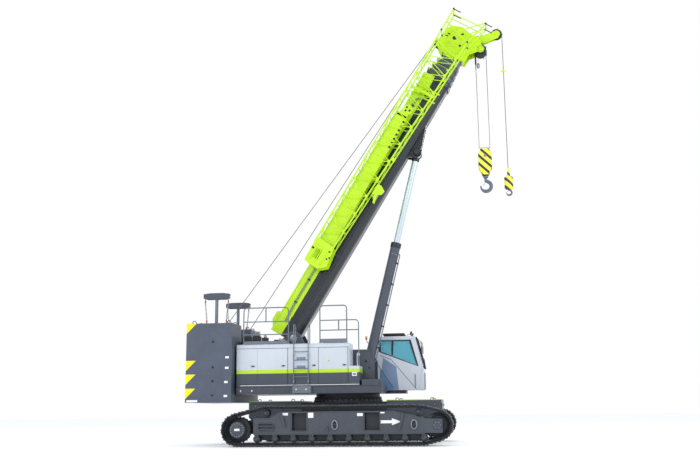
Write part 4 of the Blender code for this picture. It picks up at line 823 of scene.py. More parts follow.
# counterweights: corner flashes, blank plates, eyes, chains
CW_TOPS = (1.86, 2.32, 2.77, 4.00)
CW_LOWS = (1.4, 1.8603, 2.3203, 2.7703)
flash = on_turntable("weight_corner_flashes", YELLOW)
for top in CW_TOPS:
    for side in (-1, 1):
        flash.prism([(-5.168, top - 0.004), (-5.168, top - 0.34), (-4.83, top - 0.004)], "Y",
            *pair(side, WEIGHT_SKIN, 1.8535))
        outline = [(side * 1.848, top - 0.004), (side * 1.848, top - 0.34), (side * 1.51, top - 0.004)]
        flash.prism(outline, "X", -5.1735, -5.1735 + 0.0033)
plates = on_turntable("weight_plates", WHITE, 0.003)
for x, z in ((-3.766, 2.861), (-3.77, 2.518), (-3.792, 2.057), (-3.801, 1.605)):
    for side in (-1, 1):
        low, high = pair(side, WEIGHT_SKIN, 1.8555)
        plates.box((x - 0.06, low, z - 0.035), (x + 0.06, high, z + 0.035))
for side in (-1, 1):
    low, high = pair(side, WEIGHT_SKIN, 1.8545)
    plates.box((-5.12, low, 1.415), (-4.75, high, 1.485))
# dark discs on the counterweight sides: painted shade in the lifting pockets
pocket_shade = on_turntable("weight_pocket_shade", RUBBER)
for top, low in zip(CW_TOPS, CW_LOWS):
    middle = (top + low) / 2
    for side in (-1, 1):
        pocket_shade.disc(0.004, 0.035, 0.045, (-4.25, side * WEIGHT_FACE, middle), (0, side, 0), 18)
eyes = on_turntable("weight_eyes", STEEL)
for side in (-1, 1):
    for x, y in ((-4.98, 1.62), (-4.98, 0.85), (-3.78, 1.62), (-3.78, 0.85)):
        points = [(x + 0.06 * cos(a), side * y, 4.045 + 0.06 * sin(a))
            for a in (tau * k / 18 for k in range(18))]
        eyes.tube(points, 0.016, 8, closed=True)
        eyes.disc(0.012, 0.045, 0.055, (x, side * y, WEIGHT_ROOF), (0, 0, 1), 14)
CHAIN_LINKS, CHAIN_LOW, CHAIN_HIGH = 9, 4.16, 4.72
for side, title in ((-1, "right"), (1, "left")):
    chain = on_turntable(f"{title}_lift_chains", STEEL)
    shackles = on_turntable(f"{title}_lift_shackles", RED)
    for x in (-4.68, -3.88):
        foot = x + (0.06 if x < LIFT_X else -0.06)
        for k in range(CHAIN_LINKS):
            z = CHAIN_LOW + (CHAIN_HIGH - CHAIN_LOW) * k / (CHAIN_LINKS - 1)
            along = x + (foot - x) * (1 - k / (CHAIN_LINKS - 1))
            wide = Vector((0.02, 0, 0)) if k % 2 else Vector((0, 0.02, 0))
            loop = []
            for j in range(12):
                a = tau * j / 12
                loop.append(Vector((along, side * LIFT_Y, z)) + wide * cos(a) + Vector((0, 0, 0.044 * sin(a))))
            chain.tube(loop, 0.009, 6, closed=True)
        for z, way in ((4.765, -1), (4.11, 1)):
            arc = [(x + (foot - x) * (z < 4.5), side * LIFT_Y + 0.035 * sin(a), z + way * 0.045 * cos(a))
                for a in (radians(d) for d in range(-140, 141, 28))]
            shackles.tube(arc, 0.014, 8)
            shackles.rod((arc[0][0], side * LIFT_Y - 0.04, z - way * 0.035),
                (arc[0][0], side * LIFT_Y + 0.04, z - way * 0.035), 0.013, 8)
        chain.lathe([(0, 0.06), (0.022, 0.06), (0.022, 0.0), (0.05, 0.0), (0.05, -0.01), (0, -0.01)],
            (foot, side * LIFT_Y, 4.0105), (0, 0, 1), 12)
        chain.rod((x, side * LIFT_Y, 4.8), (x, side * LIFT_Y, 4.862), 0.016, 8)
    beam = on_turntable(f"{title}_lift_beam_plates", SLATE, 0.006)
    for way in (-1, 1):
        y0, y1 = sorted((side * LIFT_Y + way * 0.0703, side * LIFT_Y + way * 0.082))
        beam.prism([(-4.73, 4.88), (-4.6, 4.84), (-3.96, 4.84), (-3.83, 4.88), (-3.83, 5.03), (-4.05, 5.058),
            (-4.51, 5.058), (-4.73, 5.03)], "Y", y0, y1)
    beam.disc(0.03, 0.085, 0.1, (LIFT_X, side * LIFT_Y, WEIGHT_ROOF), (0, 0, 1), 24)

# ladder and rails
clamps = on_turntable("rail_clamps", STEEL)
for x, z in ((-1.585, 2.05), (-1.1, 2.05), (-1.585, 2.9), (-1.1, 2.9)):
    clamps.lathe([(0.021, -0.03), (0.03, -0.03), (0.03, 0.03), (0.021, 0.03)], (x, -1.57, z), (0, 0, 1), 14)
    clamps.rod((x, -1.5485, z), (x, -HOUSE_SKIN, z), 0.014, 8)
for x in (-3.33, -2.57, -1.8, -0.73, -0.1, 0.17):
    clamps.lathe([(0.0205, 0.05), (0.028, 0.045), (0.03, 0.008), (0.055, 0.006), (0.055, 0.0), (0.0205, 0.0)],
        (x, RAIL_Y, 3.2853), (0, 0, 1), 16)
    clamps.bolts([(x + 0.042 * cos(a), RAIL_Y + 0.042 * sin(a), 3.2913) for a in (0.8, 2.4, 3.9, 5.5)],
        (0, 0, 1), 0.009)
on_turntable("toe_boards", TUBE, 0.002).boxes(((-3.31, -1.423, 3.3), (-1.82, -1.4205, 3.4)),
    ((-0.71, -1.423, 3.3), (0.15, -1.4205, 3.42)))
tread = on_turntable("ladder_treads", CHEQUER)
for z in (2.2, 2.47, 2.74, 3.01):
    for k in range(12):
        x = -1.555 + k * 0.039
        tread.prism([(x - 0.007, -1.583), (x + 0.007, -1.583), (x + 0.007, -1.557), (x - 0.007, -1.557)], "Z",
            z + 0.0155, z + 0.0225)

# ---- cab --------------------------------------------------------------------------------------------
CAB_SIDE = 0.5597
seam = on_cab("cab_seams", RUBBER)
for path in ([(1.061, 2.972), (1.444, 2.826), (2.324, 1.783)], [(0.951, 2.689), (1.512, 1.846)]):
    for (x0, z0), (x1, z1) in zip(path, path[1:]):
        dx, dz = x1 - x0, z1 - z0
        span = hypot(dx, dz)
        nx, nz = -dz / span * 0.0075, dx / span * 0.0075
        seam.prism([(x0 - nx, z0 - nz), (x1 - nx, z1 - nz), (x1 + nx, z1 + nz), (x0 + nx, z0 + nz)], "Y",
            CAB_SIDE - 0.0025, CAB_SIDE)


def rim(batch, outline, y0, y1, width):
    """A frame round a window, inside its outline."""
    count = len(outline)
    centre = Vector((sum(p[0] for p in outline) / count, sum(p[1] for p in outline) / count))
    for index in range(count):
        a, b = Vector(outline[index]), Vector(outline[(index + 1) % count])
        ia = a + (centre - a).normalized() * width * 1.35
        ib = b + (centre - b).normalized() * width * 1.35
        batch.prism([tuple(a), tuple(b), tuple(ib), tuple(ia)], "Y", y0, y1)


frames = on_cab("cab_window_frames", RUBBER, 0.003)
rim(frames, [(1.02, 3.1), (2.4, 2.575), (2.15, 3.5), (1.02, 3.5)], CAB_SIDE - 0.01, CAB_SIDE, 0.055)
frames.prism([(1.46, 2.99), (1.52, 2.97), (1.54, 3.47), (1.48, 3.47)], "Y", CAB_SIDE - 0.006, CAB_SIDE + 0.012)
frames.prism([(2.6 - 0.012, 2.52), (2.64 - 0.012, 2.52), (2.36, 3.6), (2.31, 3.6)], "Y", 0.6, 0.645)
frames.prism([(2.6 - 0.012, 2.52), (2.64 - 0.012, 2.52), (2.36, 3.6), (2.31, 3.6)], "Y", 1.405, 1.45)
frames.prism([(2.33, 3.5), (2.37, 3.5), (2.355, 3.56), (2.3, 3.56)], "Y", 0.6, 1.45)
frames.prism([(2.555, 2.5), (2.6, 2.5), (2.59, 2.58), (2.545, 2.58)], "Y", 0.6, 1.45)
on_cab("cab_side_band", BAND_BLUE).prism([(1.165, 2.895), (1.62, 2.58), (1.7, 1.775), (1.3, 1.775),
    (1.06, 2.13)], "Y", CAB_SIDE - 0.0012, CAB_SIDE)
band = on_cab("cab_lower_band", BAND_DEEP)
band.prism([(1.06, 2.5), (1.5, 1.86), (1.54, 1.775), (1.02, 1.775)], "Y", CAB_SIDE - 0.0018, CAB_SIDE - 0.0012)
on_cab("cab_front_cheek", SILVER, 0.01).prism([(2.4, 1.772), (2.584, 1.772), (2.584, 2.5), (2.52, 2.52)], "Y",
    0.545, CAB_SIDE)
on_cab("cab_roof_rim", SILVER, 0.012).prism([(1.00, 3.52), (2.28, 3.52), (2.33, 3.56), (2.3, 3.628),
    (0.8, 3.628), (0.8, 3.58)], "Y", 0.548, CAB_SIDE)
slat = on_cab("roof_guard_bars", RUBBER, 0.003)
for k in range(9):
    x = 1.2 + k * 0.0855
    slat.box((x, 0.7, 3.7203), (x + 0.03, 1.35, 3.738))
slat.boxes(((1.16, 0.672, 3.7203), (1.92, 0.7, 3.745)), ((1.16, 1.35, 3.7203), (1.92, 1.378, 3.745)))
lamps = on_cab("cab_lamp_housings", RUBBER, 0.005)
glow = on_cab("cab_lamp_lenses", LAMP)
for y in (0.64, 1.4):
    lamps.rod((2.16, y, 3.63), (2.16, y, 3.7), 0.014, 8)
    lamps.lathe([(0, -0.05), (0.045, -0.045), (0.062, 0.0), (0.062, 0.025), (0.052, 0.025), (0, 0.012)],
        (2.17, y, 3.735), (1, 0, -0.25), 20)
    glow.lathe([(0, 0.032), (0.035, 0.029), (0.051, 0.0245), (0.051, 0.012), (0, 0.012)], (2.17, y, 3.735),
        (1, 0, -0.25), 20)
lamps.rod((0.8, 1.00, 3.6), (0.8, 1.00, 3.66), 0.02, 10)
lamps.tube(curve_through([(0.722, 0.8, 3.4), (0.6, 0.8, 3.44), (0.56, 0.8, 3.56)], 0.04), 0.012, 8)
lamps.disc(-0.03, 0.03, 0.035, (0.56, 0.8, 3.58), (0, 0, 1), 14)
on_cab("cab_beacon", ORANGE).lathe([(0, 0.1), (0.022, 0.095), (0.036, 0.07), (0.04, 0.0), (0, 0.0)],
    (0.56, 0.8, 3.5805), (0, 0, 1), 20)
mirror = on_cab("cab_mirrors", RUBBER, 0.006)
for y, way in ((0.6, -1), (1.46, 1)):
    mirror.tube(curve_through([(2.4, y, 3.44), (2.5, y + way * 0.015, 3.46), (2.52, y + way * 0.015, 3.3)],
        0.04), 0.011, 8)
    mirror.box((2.5, y + way * 0.01 - 0.05, 3.06), (2.53, y + way * 0.01 + 0.05, 3.3))
    mirror.tube(curve_through([(2.575, y + way * 0.01, 2.62), (2.585, y + way * 0.01, 2.66),
        (2.56, y + way * 0.01, 2.86), (2.53, y + way * 0.01, 2.9)], 0.03), 0.01, 8)
handle = on_cab("cab_grab_rails", TUBE)
handle.tube(curve_through([(2.28, 0.558, 1.86), (2.28, 0.535, 1.86), (2.28, 0.535, 2.3), (2.28, 0.558, 2.3)],
    0.02), 0.011, 8)
handle.tube(curve_through([(2.2, 0.62, 3.632), (2.2, 0.62, 3.68), (2.02, 0.62, 3.68), (2.02, 0.62, 3.632)],
    0.02), 0.01, 8)
handle.tube(curve_through([(1.9, 1.491, 2.2), (1.9, 1.54, 2.2), (1.9, 1.54, 3.2), (1.9, 1.491, 3.2)], 0.03),
    0.012, 8)
wiper = on_cab("windscreen_wiper", RUBBER)
slope = (Vector((2.31, 0, 3.55)) - Vector((2.535, 0, 2.58))).normalized()
out = Vector((slope.z, 0, -slope.x)) * 0.022
foot = Vector((2.535, 1.02, 2.58)) + out * 1.2 + slope * 0.02
wiper.rod(foot, foot + slope * 0.5 + Vector((0, -0.14, 0)), 0.008, 8)
wiper.rod(foot + slope * 0.22 + Vector((0, -0.14, 0)), foot + slope * 0.78 + Vector((0, -0.14, 0)), 0.007, 8)
wiper.lathe([(0, 0.02), (0.022, 0.02), (0.026, -0.01), (0, -0.01)], foot, tuple(out.normalized()), 14)
inside = on_cab("cab_console", RUBBER, 0.012)
inside.prism([(2.12, 1.823), (2.4, 1.823), (2.4, 2.45), (2.2, 2.62), (2.08, 2.6), (2.18, 2.4)], "Y", 0.8, 1.25)
for y in (0.67, 1.385):
    inside.prism([(0.95, 2.3), (1.6, 2.3), (1.64, 2.52), (1.56, 2.56), (1.1, 2.5)], "Y", y - 0.045, y + 0.035)
inside.box((2.02, 0.88, 2.63), (2.05, 1.14, 2.86))
sticks = on_cab("cab_levers", STEEL)
for y in (0.67, 1.385):
    sticks.rod((1.5, y, 2.54), (1.53, y, 2.68), 0.01, 8)
    sticks.lathe([(0, 0.07), (0.018, 0.06), (0.024, 0.03), (0.016, 0.0), (0, 0)], (1.53, y, 2.67), (0.15, 0, 1),
        14)
for y in (0.94, 1.08):
    sticks.rod((2.04, y, 1.84), (1.96, y, 2.0), 0.012, 8)
on_cab("cab_monitor_face", BAND_DEEP, 0.002).box((2.0165, 0.9, 2.65), (2.0198, 1.12, 2.84))
on_cab("cab_skirt", SLATE, 0.006).box((2.5863, 0.62, 1.8), (2.596, 1.43, 2.36))
lever = Batch("cab_door_handle", "cab_door_leaf", RUBBER, bevel=0.004)
lever.box((0.9, 1.5253, 2.42), (1.02, 1.545, 2.46))
lever.tube(curve_through([(1.58, 1.5253, 2.3), (1.58, 1.565, 2.3), (1.58, 1.565, 2.9), (1.58, 1.5253, 2.9)],
    0.03), 0.012, 8)
seal = Batch("cab_door_frame", "cab_door_leaf", RUBBER, bevel=0.002)
rim(seal, [(0.96, 2.6), (1.54, 2.6), (1.54, 3.44), (0.96, 3.44)], 1.5253, 1.533, 0.03)
guide = on_cab("cab_door_rails", STEEL)
for z in (1.835, 3.545):
    guide.rod((0.74, 1.512, z), (2.3, 1.512, z), 0.009, 8)

# ---- boom -------------------------------------------------------------------------------------------
BASE_SIDE, BASE_TOP, BASE_LOW = 0.42, 0.905, -0.115
edges = on_boom("boom_edge_strips", LIME, 0.004)
for side in (-1, 1):
    low, high = pair(side, BASE_SIDE + 0.0003, BASE_SIDE + 0.012)
    edges.boxes(((0.15, low, 0.862), (10.36, high, 0.9)), ((0.6, low, 0.452), (10.36, high, 0.468)))
ribs = on_boom("boom_side_plates", SLATE, 0.004)
for side in (-1, 1):
    low, high = pair(side, BASE_SIDE + 0.0003, BASE_SIDE + 0.01)
    ribs.box((0.45, low, 0.06), (10.36, high, 0.078))
    for along in (3.2, 6.4, 9.0):
        ribs.box((along, low, 0.09), (along + 0.05, high, 0.44))
    ribs.prism([(6.95, 0.04), (8.75, 0.04), (8.3, 0.34), (7.4, 0.34)], "Y", low, high)
collar = on_boom("boom_collar_ribs", LIME, 0.006)
for side in (-1, 1):
    low, high = pair(side, BASE_SIDE + 0.0003, BASE_SIDE + 0.03)
    for along in (9.62, 9.98):
        collar.box((along, low, -0.02), (along + 0.06, high, 0.9))
    collar.prism([(9.68, 0.8), (9.98, 0.55), (9.98, 0.6), (9.68, 0.86)], "Y", low, high)
for along in (9.62, 9.98):
    collar.box((along, -0.44, BASE_TOP + 0.0003), (along + 0.06, 0.44, BASE_TOP + 0.03))
collar.prism([(-0.02, 0.905), (0.2, 1.06), (0.52, 1.06), (0.6, 0.9055)], "Y", -0.3, -0.24)
collar.prism([(-0.02, 0.905), (0.2, 1.06), (0.52, 1.06), (0.6, 0.9055)], "Y", 0.24, 0.3)
pads = on_boom("boom_wear_pads", RUBBER, 0.003)
for side in (-1, 1):
    for perp in (0.12, 0.7):
        low, high = pair(side, 0.355, 0.405)
        pads.box((10.522, low, perp - 0.08), (10.545, high, perp + 0.08))
    pads.box((10.522, side * 0.18 - 0.08, 0.845), (10.545, side * 0.18 + 0.08, 0.885))
FRONTS = (10.54, 10.79, 11.04, 11.29, 11.5497)
for index in range(2, 6):
    shrink = 0.09 * (index - 1)
    half = BASE_SIDE - shrink / 2
    top, low = BASE_TOP - shrink / 2, BASE_LOW + shrink / 2
    body = f"section_{index}"
    start, end = FRONTS[index - 2] + 0.03, FRONTS[index - 1]
    band = Batch(f"section_{index}_collar", body, LIME, BOOM, bevel=0.005)
    for side in (-1, 1):
        a, b = pair(side, half + 0.0003, half + 0.02)
        band.box((end - 0.09, a, low + 0.22), (end - 0.005, b, top - 0.02))
    band.box((end - 0.09, -half, top + 0.0003), (end - 0.005, half, top + 0.022))
    pads = Batch(f"section_{index}_pads", body, STEEL, BOOM, bevel=0.003)
    for side in (-1, 1):
        for perp in (0.25, 0.62):
            spot = Vector((end - 0.048, side * (half + 0.0205), perp))
            pads.bolt(spot, (0, side, 0), 0.02)
            pads.bolt(spot + Vector((0, 0, 0.07)), (0, side, 0), 0.02)
    for y in (-0.16, 0.16):
        pads.bolt((end - 0.048, y, top + 0.0225), (0, 0, 1), 0.018)
wire = on_boom("boom_side_pipes", TUBE)
for side in (-1, 1):
    for k in range(2):
        wire.tube(curve_through([(0.35, side * 0.455, 0.55 + 0.05 * k), (1.0, side * 0.455, 0.6 + 0.05 * k),
            (9.5, side * 0.455, 0.6 + 0.05 * k), (9.58, side * 0.455, 0.5 + 0.05 * k)], 0.2), 0.012, 8)
clips = on_boom("boom_pipe_clips", RUBBER, 0.002)
for side in (-1, 1):
    for k in range(10):
        low, high = pair(side, 0.4203, 0.475)
        clips.box((1.1 + k * 0.9, low, 0.575), (1.14 + k * 0.9, high, 0.675))
lugs = on_boom("luff_eye_lugs", DARK, 0.006)
for side in (-1, 1):
    lugs.lathe([(0, 0.04), (0.09, 0.04), (0.11, 0.02), (0.12, 0.0), (0, 0)], (7.85, side * 0.262, -0.31),
        (0, side, 0), 24)

# stowed jib: two tube panels, end plates, ties, brackets and pins
JIB_YS = (-1.12, -0.62)
JIB_REAR, JIB_BAY, JIB_BAYS, JIB_TOP = 3.3, 0.72, 12, 0.98
JIB_FRONT = JIB_REAR + JIB_BAY * JIB_BAYS
UPPER_TIP, LOWER_TIP, LOWER_TIP_PERP = 12.82, 12.84, -0.28


def jib_low(along):
    """The lower chord draws away from the upper one towards the head."""
    return 0.3 - 0.35 * (along - JIB_REAR) / (JIB_FRONT - JIB_REAR)


lattice = Batch("jib_lattice", "boom", LIME, BOOM, replaces=["jib"])
for y in JIB_YS:
    lattice.rod((3.2, y, JIB_TOP), (12.88, y, JIB_TOP), 0.028, 12)
    lattice.rod((3.2, y, jib_low(3.2)), (JIB_FRONT, y, jib_low(JIB_FRONT)), 0.028, 12)
    lattice.rod((JIB_FRONT, y, jib_low(JIB_FRONT)), (12.9, y, -0.31), 0.03, 12, 0.022)
    lattice.rod((12.1, y, 0.5), (12.87, y, -0.27), 0.02, 10)
    lattice.rod((JIB_FRONT, y, jib_low(JIB_FRONT)), (12.3, y, JIB_TOP), 0.022, 10)
    lattice.rod((12.66, y, -0.24), (12.66, y, JIB_TOP), 0.018, 10)
    for bay in range(JIB_BAYS):
        along = JIB_REAR + bay * JIB_BAY
        lattice.rod((along, y, jib_low(along)), (along + JIB_BAY / 2, y, JIB_TOP), 0.014, 8)
        lattice.rod((along + JIB_BAY / 2, y, JIB_TOP), (along + JIB_BAY, y, jib_low(along + JIB_BAY)), 0.014, 8)
for bay in range(JIB_BAYS + 1):
    along = JIB_REAR + bay * JIB_BAY
    lattice.rod((along, JIB_YS[0], jib_low(along)), (along, JIB_YS[1], jib_low(along)), 0.014, 8)
    lattice.rod((along, JIB_YS[0], JIB_TOP), (along, JIB_YS[1], JIB_TOP), 0.014, 8)
    if bay < JIB_BAYS:
        near, far = JIB_YS if bay % 2 else JIB_YS[::-1]
        lattice.rod((along, near, jib_low(along)), (along + JIB_BAY, far, jib_low(along + JIB_BAY)), 0.012, 8)
        lattice.rod((along, near, JIB_TOP), (along + JIB_BAY, far, JIB_TOP), 0.012, 8)
lattice.rod((UPPER_TIP, JIB_YS[0], JIB_TOP), (UPPER_TIP, JIB_YS[1], JIB_TOP), 0.02, 10)
lattice.rod((LOWER_TIP, JIB_YS[0], LOWER_TIP_PERP), (LOWER_TIP, JIB_YS[1], -0.3), 0.02, 10)
gusset = on_boom("jib_end_plates", LIME, 0.003)
for y in JIB_YS:
    gusset.prism([(2.46, 0.42), (2.66, 0.17), (3.34, 0.27), (3.34, 0.4), (3.2, 0.58), (2.6, 0.58)], "Y",
        y - 0.014, y + 0.014)
    gusset.prism([(2.5, 0.8), (3.2, 0.8), (3.5, 1.00), (2.52, 0.97)], "Y", y - 0.014, y + 0.014)
    gusset.prism([(2.46, 0.42), (2.72, 0.42), (2.74, 0.95), (2.5, 0.95)], "Y", y - 0.016, y + 0.016)
    gusset.prism([(3.08, 0.4), (3.36, 0.3), (3.44, 0.98), (3.08, 0.9)], "Y", y - 0.016, y + 0.016)
    for z in (0.4, 0.62, 0.8):
        gusset.prism([(2.62, z - 0.014), (3.2, z - 0.014), (3.2, z + 0.014), (2.62, z + 0.014)], "Y", y - 0.03,
            y + 0.03)
    for bay in range(JIB_BAYS + 1):
        along = JIB_REAR + bay * JIB_BAY
        low = jib_low(along)
        gusset.prism([(along - 0.09, low - 0.02), (along + 0.09, low - 0.02), (along + 0.03, low + 0.085),
            (along - 0.03, low + 0.085)], "Y", y - 0.006, y + 0.006)
        if bay < JIB_BAYS:
            middle = along + JIB_BAY / 2
            gusset.prism([(middle - 0.03, JIB_TOP - 0.085), (middle + 0.03, JIB_TOP - 0.085),
                (middle + 0.09, JIB_TOP + 0.02), (middle - 0.09, JIB_TOP + 0.02)], "Y", y - 0.006, y + 0.006)
gusset.box((2.64, -1.12, 0.4), (2.74, -0.62, 0.75))
inner = on_boom("jib_inner_girder", LIME, 0.004)
inner.prism([(3.3, 0.36), (8.62, 0.44), (8.62, 0.88), (3.3, 0.9)], "Y", -0.98, -0.76)
for k in range(8):
    along = 3.42 + k * 0.7
    inner.box((along, -0.992, 0.4), (along + 0.03, -0.98, 0.88))
inner.disc(0.02, 0.15, 0.19, (8.86, -0.98, 0.58), (0, -1, 0), 28)
inner.prism([(8.55, 0.46), (8.95, 0.5), (8.95, 0.7), (8.55, 0.86)], "Y", -0.98, -0.8)
# dark discs on the jib girder and end plates: painted shade in the holes
hole_shade = on_boom("jib_girder_hole_shade", DARK)
for k in range(7):
    hole_shade.disc(0.003, 0.04, 0.046, (8.4 - 0.17 * k, -0.9803, 0.48 - 0.004 * k), (0, -1, 0), 12)
for dx, dz in ((0.06, 0.06), (-0.06, 0.05), (0.0, -0.08)):
    hole_shade.disc(0.003, 0.036, 0.042, (8.86 + dx, -1.0003, 0.58 + dz), (0, -1, 0), 12)
for along, perp in ((3.02, 0.9), (2.9, 0.3), (3.16, 0.34), (2.98, 0.24)):
    hole_shade.disc(0.003, 0.028, 0.034, (along, -1.1363, perp), (0, -1, 0), 12)
bracket = on_boom("jib_brackets", LIME, 0.006)
for along in (6.18, 9.78):
    bracket.boxes(((along - 0.1, -0.62, 0.6), (along + 0.1, -0.4205, 0.74)),
        ((along - 0.05, -0.66, jib_low(along)), (along + 0.05, -0.6, JIB_TOP)))
bracket.box((5.55, -1.1, 0.02), (6.00, -0.4205, 0.1))
bracket.prism([(5.6, 0.1), (6.02, 0.1), (6.02, -0.05), (5.9, -0.24), (5.74, -0.2), (5.66, -0.06)], "Y", -1.19,
    -1.13)
bracket.prism([(5.35, -0.16), (5.7, -0.06), (5.7, 0.02), (5.36, -0.08)], "Y", -1.2, -1.15)
bracket.rod((5.82, -1.2, -0.09), (5.82, -1.1, -0.09), 0.075, 18)
bracket.prism([(6.95, 0.0), (7.1, 0.0), (7.06, 0.14), (6.98, 0.14)], "Y", -1.17, -1.12)
pins = on_boom("jib_pins", DARK)
for y in JIB_YS:
    pins.rod((UPPER_TIP, y, JIB_TOP), (UPPER_TIP, y, JIB_TOP - 0.28), 0.017, 10)
    pins.rod((LOWER_TIP, y, LOWER_TIP_PERP), (LOWER_TIP, y, -0.54), 0.017, 10)
    for along, perp in ((UPPER_TIP, JIB_TOP), (LOWER_TIP, LOWER_TIP_PERP), (JIB_FRONT, JIB_TOP),
            (JIB_FRONT, jib_low(JIB_FRONT)), (3.02, 0.93)):
        pins.rod((along, y - 0.05, perp), (along, y + 0.05, perp), 0.033, 14)

# boom head
head = Batch("head_plates", "section_5", LIME, BOOM, bevel=0.006, replaces=["boom_head"])
head.box((11.55, -0.26, -0.085), (11.83, 0.26, 0.8))
for side in (-1, 1):
    low, high = pair(side, 0.2303, 0.27)
    boss = arc_points(HEAD_SHEAVE, 0.13, range(180, 361, 20))
    head.prism([(11.57, -0.14), (11.9, -0.16), (12.03, -0.27), (12.12, -0.35), *boss, (12.44, -0.33),
        (12.6, -0.24), (12.6, 0.2), (12.7, 0.55), (12.58, 0.95), (12.25, 1.1), (11.85, 1.05), (11.57, 0.78)],
        "Y", low, high)
    low, high = pair(side, 0.2703, 0.284)
    head.prism([(11.66, 0.02), (12.4, -0.12), (12.52, 0.1), (11.72, 0.24)], "Y", low, high)
    head.prism([(11.8, 0.9), (12.22, 1.00), (12.5, 0.88), (12.46, 0.8), (12.2, 0.9), (11.84, 0.8)], "Y", low,
        high)
    head.lathe([(0, 0.05), (0.06, 0.05), (0.08, 0.035), (0.085, 0.0), (0, 0)],
        (HEAD_SHEAVE.x, side * 0.2703, HEAD_SHEAVE.z), (0, side, 0), 20)
    low, high = pair(side, 0.0553, 0.095)
    nose = arc_points(TIP_SHEAVE, 0.13, range(-110, 61, 17))
    head.prism([(12.5, 0.12), (12.5, -0.2), (12.56, -0.36), (13.00, -0.72), *nose, (12.72, -0.1),
        (12.66, 0.12)], "Y", low, high)
    head.lathe([(0, 0.03), (0.04, 0.03), (0.055, 0.02), (0.06, 0.0), (0, 0)],
        (TIP_SHEAVE.x, side * 0.0953, TIP_SHEAVE.z), (0, side, 0), 18)
head.box((12.44, -0.25, -0.08), (12.59, 0.25, 0.5))
for along, perp in ((12.52, 0.72), (12.1, 0.85)):
    head.rod((along, -0.25, perp), (along, 0.25, perp), 0.05, 14)
# dark discs and slots on the head plates: painted shade in the cutouts
dark = on_head("head_cutout_shade", DARK)
for along, perp, radius in ((12.2, 0.62, 0.075), (12.02, 0.3, 0.05), (12.44, 0.42, 0.06)):
    dark.disc(0.004, radius * 0.85, radius, (along, -0.2703, perp), (0, -1, 0), 18)
    dark.disc(0.004, radius * 0.85, radius, (along, 0.2703, perp), (0, 1, 0), 18)
for k in range(3):
    dark.box((12.13 + 0.1 * k, -0.2885, 0.86 - 0.03 * k), (12.17 + 0.1 * k, -0.2703, 0.96 - 0.03 * k))
bolts = on_head("head_bolts", STEEL)
for side in (-1, 1):
    for u, v in circle((HEAD_SHEAVE.x, HEAD_SHEAVE.z), 0.125, 8):
        bolts.bolt((u, side * 0.288, v), (0, side, 0), 0.015)
guard = on_head("head_rope_guards", DARK)
for x, z in arc_points(HEAD_SHEAVE, 0.225, (-30, -75, -120)):
    guard.rod((x, -0.232, z), (x, 0.232, z), 0.012, 8)
for x, z in arc_points(TIP_SHEAVE, 0.228, (20, -60)):
    guard.rod((x, -0.055, z), (x, 0.055, z), 0.009, 8)
idler = on_head("head_guide_sheave", DARK)
for y in (-0.07, 0.07):
    idler.lathe([(0, -0.03), (0.12, -0.03), (0.125, -0.026), (0.105, 0.0), (0.125, 0.026), (0.12, 0.03),
        (0, 0.03)], (11.8, y, 1.095), (0, 1, 0), 28)
idler.rod((11.8, -0.15, 1.095), (11.8, 0.15, 1.095), 0.022, 12)
horn = on_head("head_guide_brackets", LIME, 0.004)
for side in (-1, 1):
    horn.prism([(11.44, 0.735), (11.82, 0.735), (11.87, 1.06), (11.84, 1.14), (11.75, 1.14), (11.7, 1.06)], "Y",
        *pair(side, 0.125, 0.143))
on_head("head_lamp", LAMP).lathe([(0, 0.05), (0.03, 0.045), (0.045, 0.02), (0.045, 0.0), (0, 0)],
    (12.4, 0.31, -0.5), (0.3, 0.2, -1), 16)

# ---- ropes ------------------------------------------------------------------------------------------
ROPE_R = 0.0125
HEAD_TOP = (11.87, 1.222)
ROPE_STOPS = (9.6, 10.55, 10.8, 11.05, 11.3, 11.55, HEAD_TOP[0])
BOOM_CHAIN = ("boom", "section_2", "section_3", "section_4", "section_5")


def rope_between(name, first, last, body=None, steps=2):
    """A straight stretch of hoist rope in the boom's frame."""
    (start, y0), (end, y1) = first, last
    piece = Batch(name, None, ROPE, BOOM)
    points = []
    for i in range(steps + 1):
        t = i / steps
        points.append((start[0] + (end[0] - start[0]) * t, y0 + (y1 - y0) * t,
            start[1] + (end[1] - start[1]) * t))
    piece.tube(points, ROPE_R, 8)
    made = piece.done()
    if body:
        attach(made, body)
    else:
        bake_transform(made)
    return made


for title, winch_x, y_low, y_high in (("main", -4.62, -0.3, -0.07), ("aux", -3.78, 0.3, 0.07)):
    start = LOCAL_BOOM.inverted() @ Vector((winch_x - 0.24, 0, WINCH_Z + 0.18))
    low = (start.x, start.z)

    def on_line(along):
        share = (along - low[0]) / (HEAD_TOP[0] - low[0])
        return (along, low[1] + (HEAD_TOP[1] - low[1]) * share), y_low + (y_high - y_low) * share

    spots = [on_line(stop) for stop in (low[0], *ROPE_STOPS)]
    rope_between(f"{title}_rope_from_winch", spots[0], spots[1], steps=28)
    rope_between(f"{title}_rope_on_base", spots[1], spots[2], body="boom")
    for index, (a, b) in enumerate(zip(BOOM_CHAIN, BOOM_CHAIN[1:])):
        rope_between(f"{title}_rope_over_{b}", spots[index + 2], spots[index + 3], steps=4)
    rope_between(f"{title}_rope_at_head", spots[6], spots[7], body="section_5")
over = on_head("rope_over_head", ROPE)
over.tube([(11.87, 0.07, 1.215), (11.9, 0.065, 1.18), (13.02, 0.0, -0.41)], ROPE_R, 8)
over.tube([(11.87, -0.07, 1.215), (11.93, -0.07, 1.13), (12.4, -0.12, -0.24)], ROPE_R, 8)
tip_at = LOCAL_BOOM @ TIP_SHEAVE
limit = Batch("hoist_limit_weight", "main_line", STEEL)
limit.lathe([(0, 0.1), (0.03, 0.095), (0.055, 0.05), (0.055, -0.05), (0.03, -0.095), (0, -0.1)],
    (4.86, 0, 13.24), (0, 0, 1), 20)
limit.rod((4.86, 0, 13.33), (4.86, 0, 13.62), 0.008, 8)
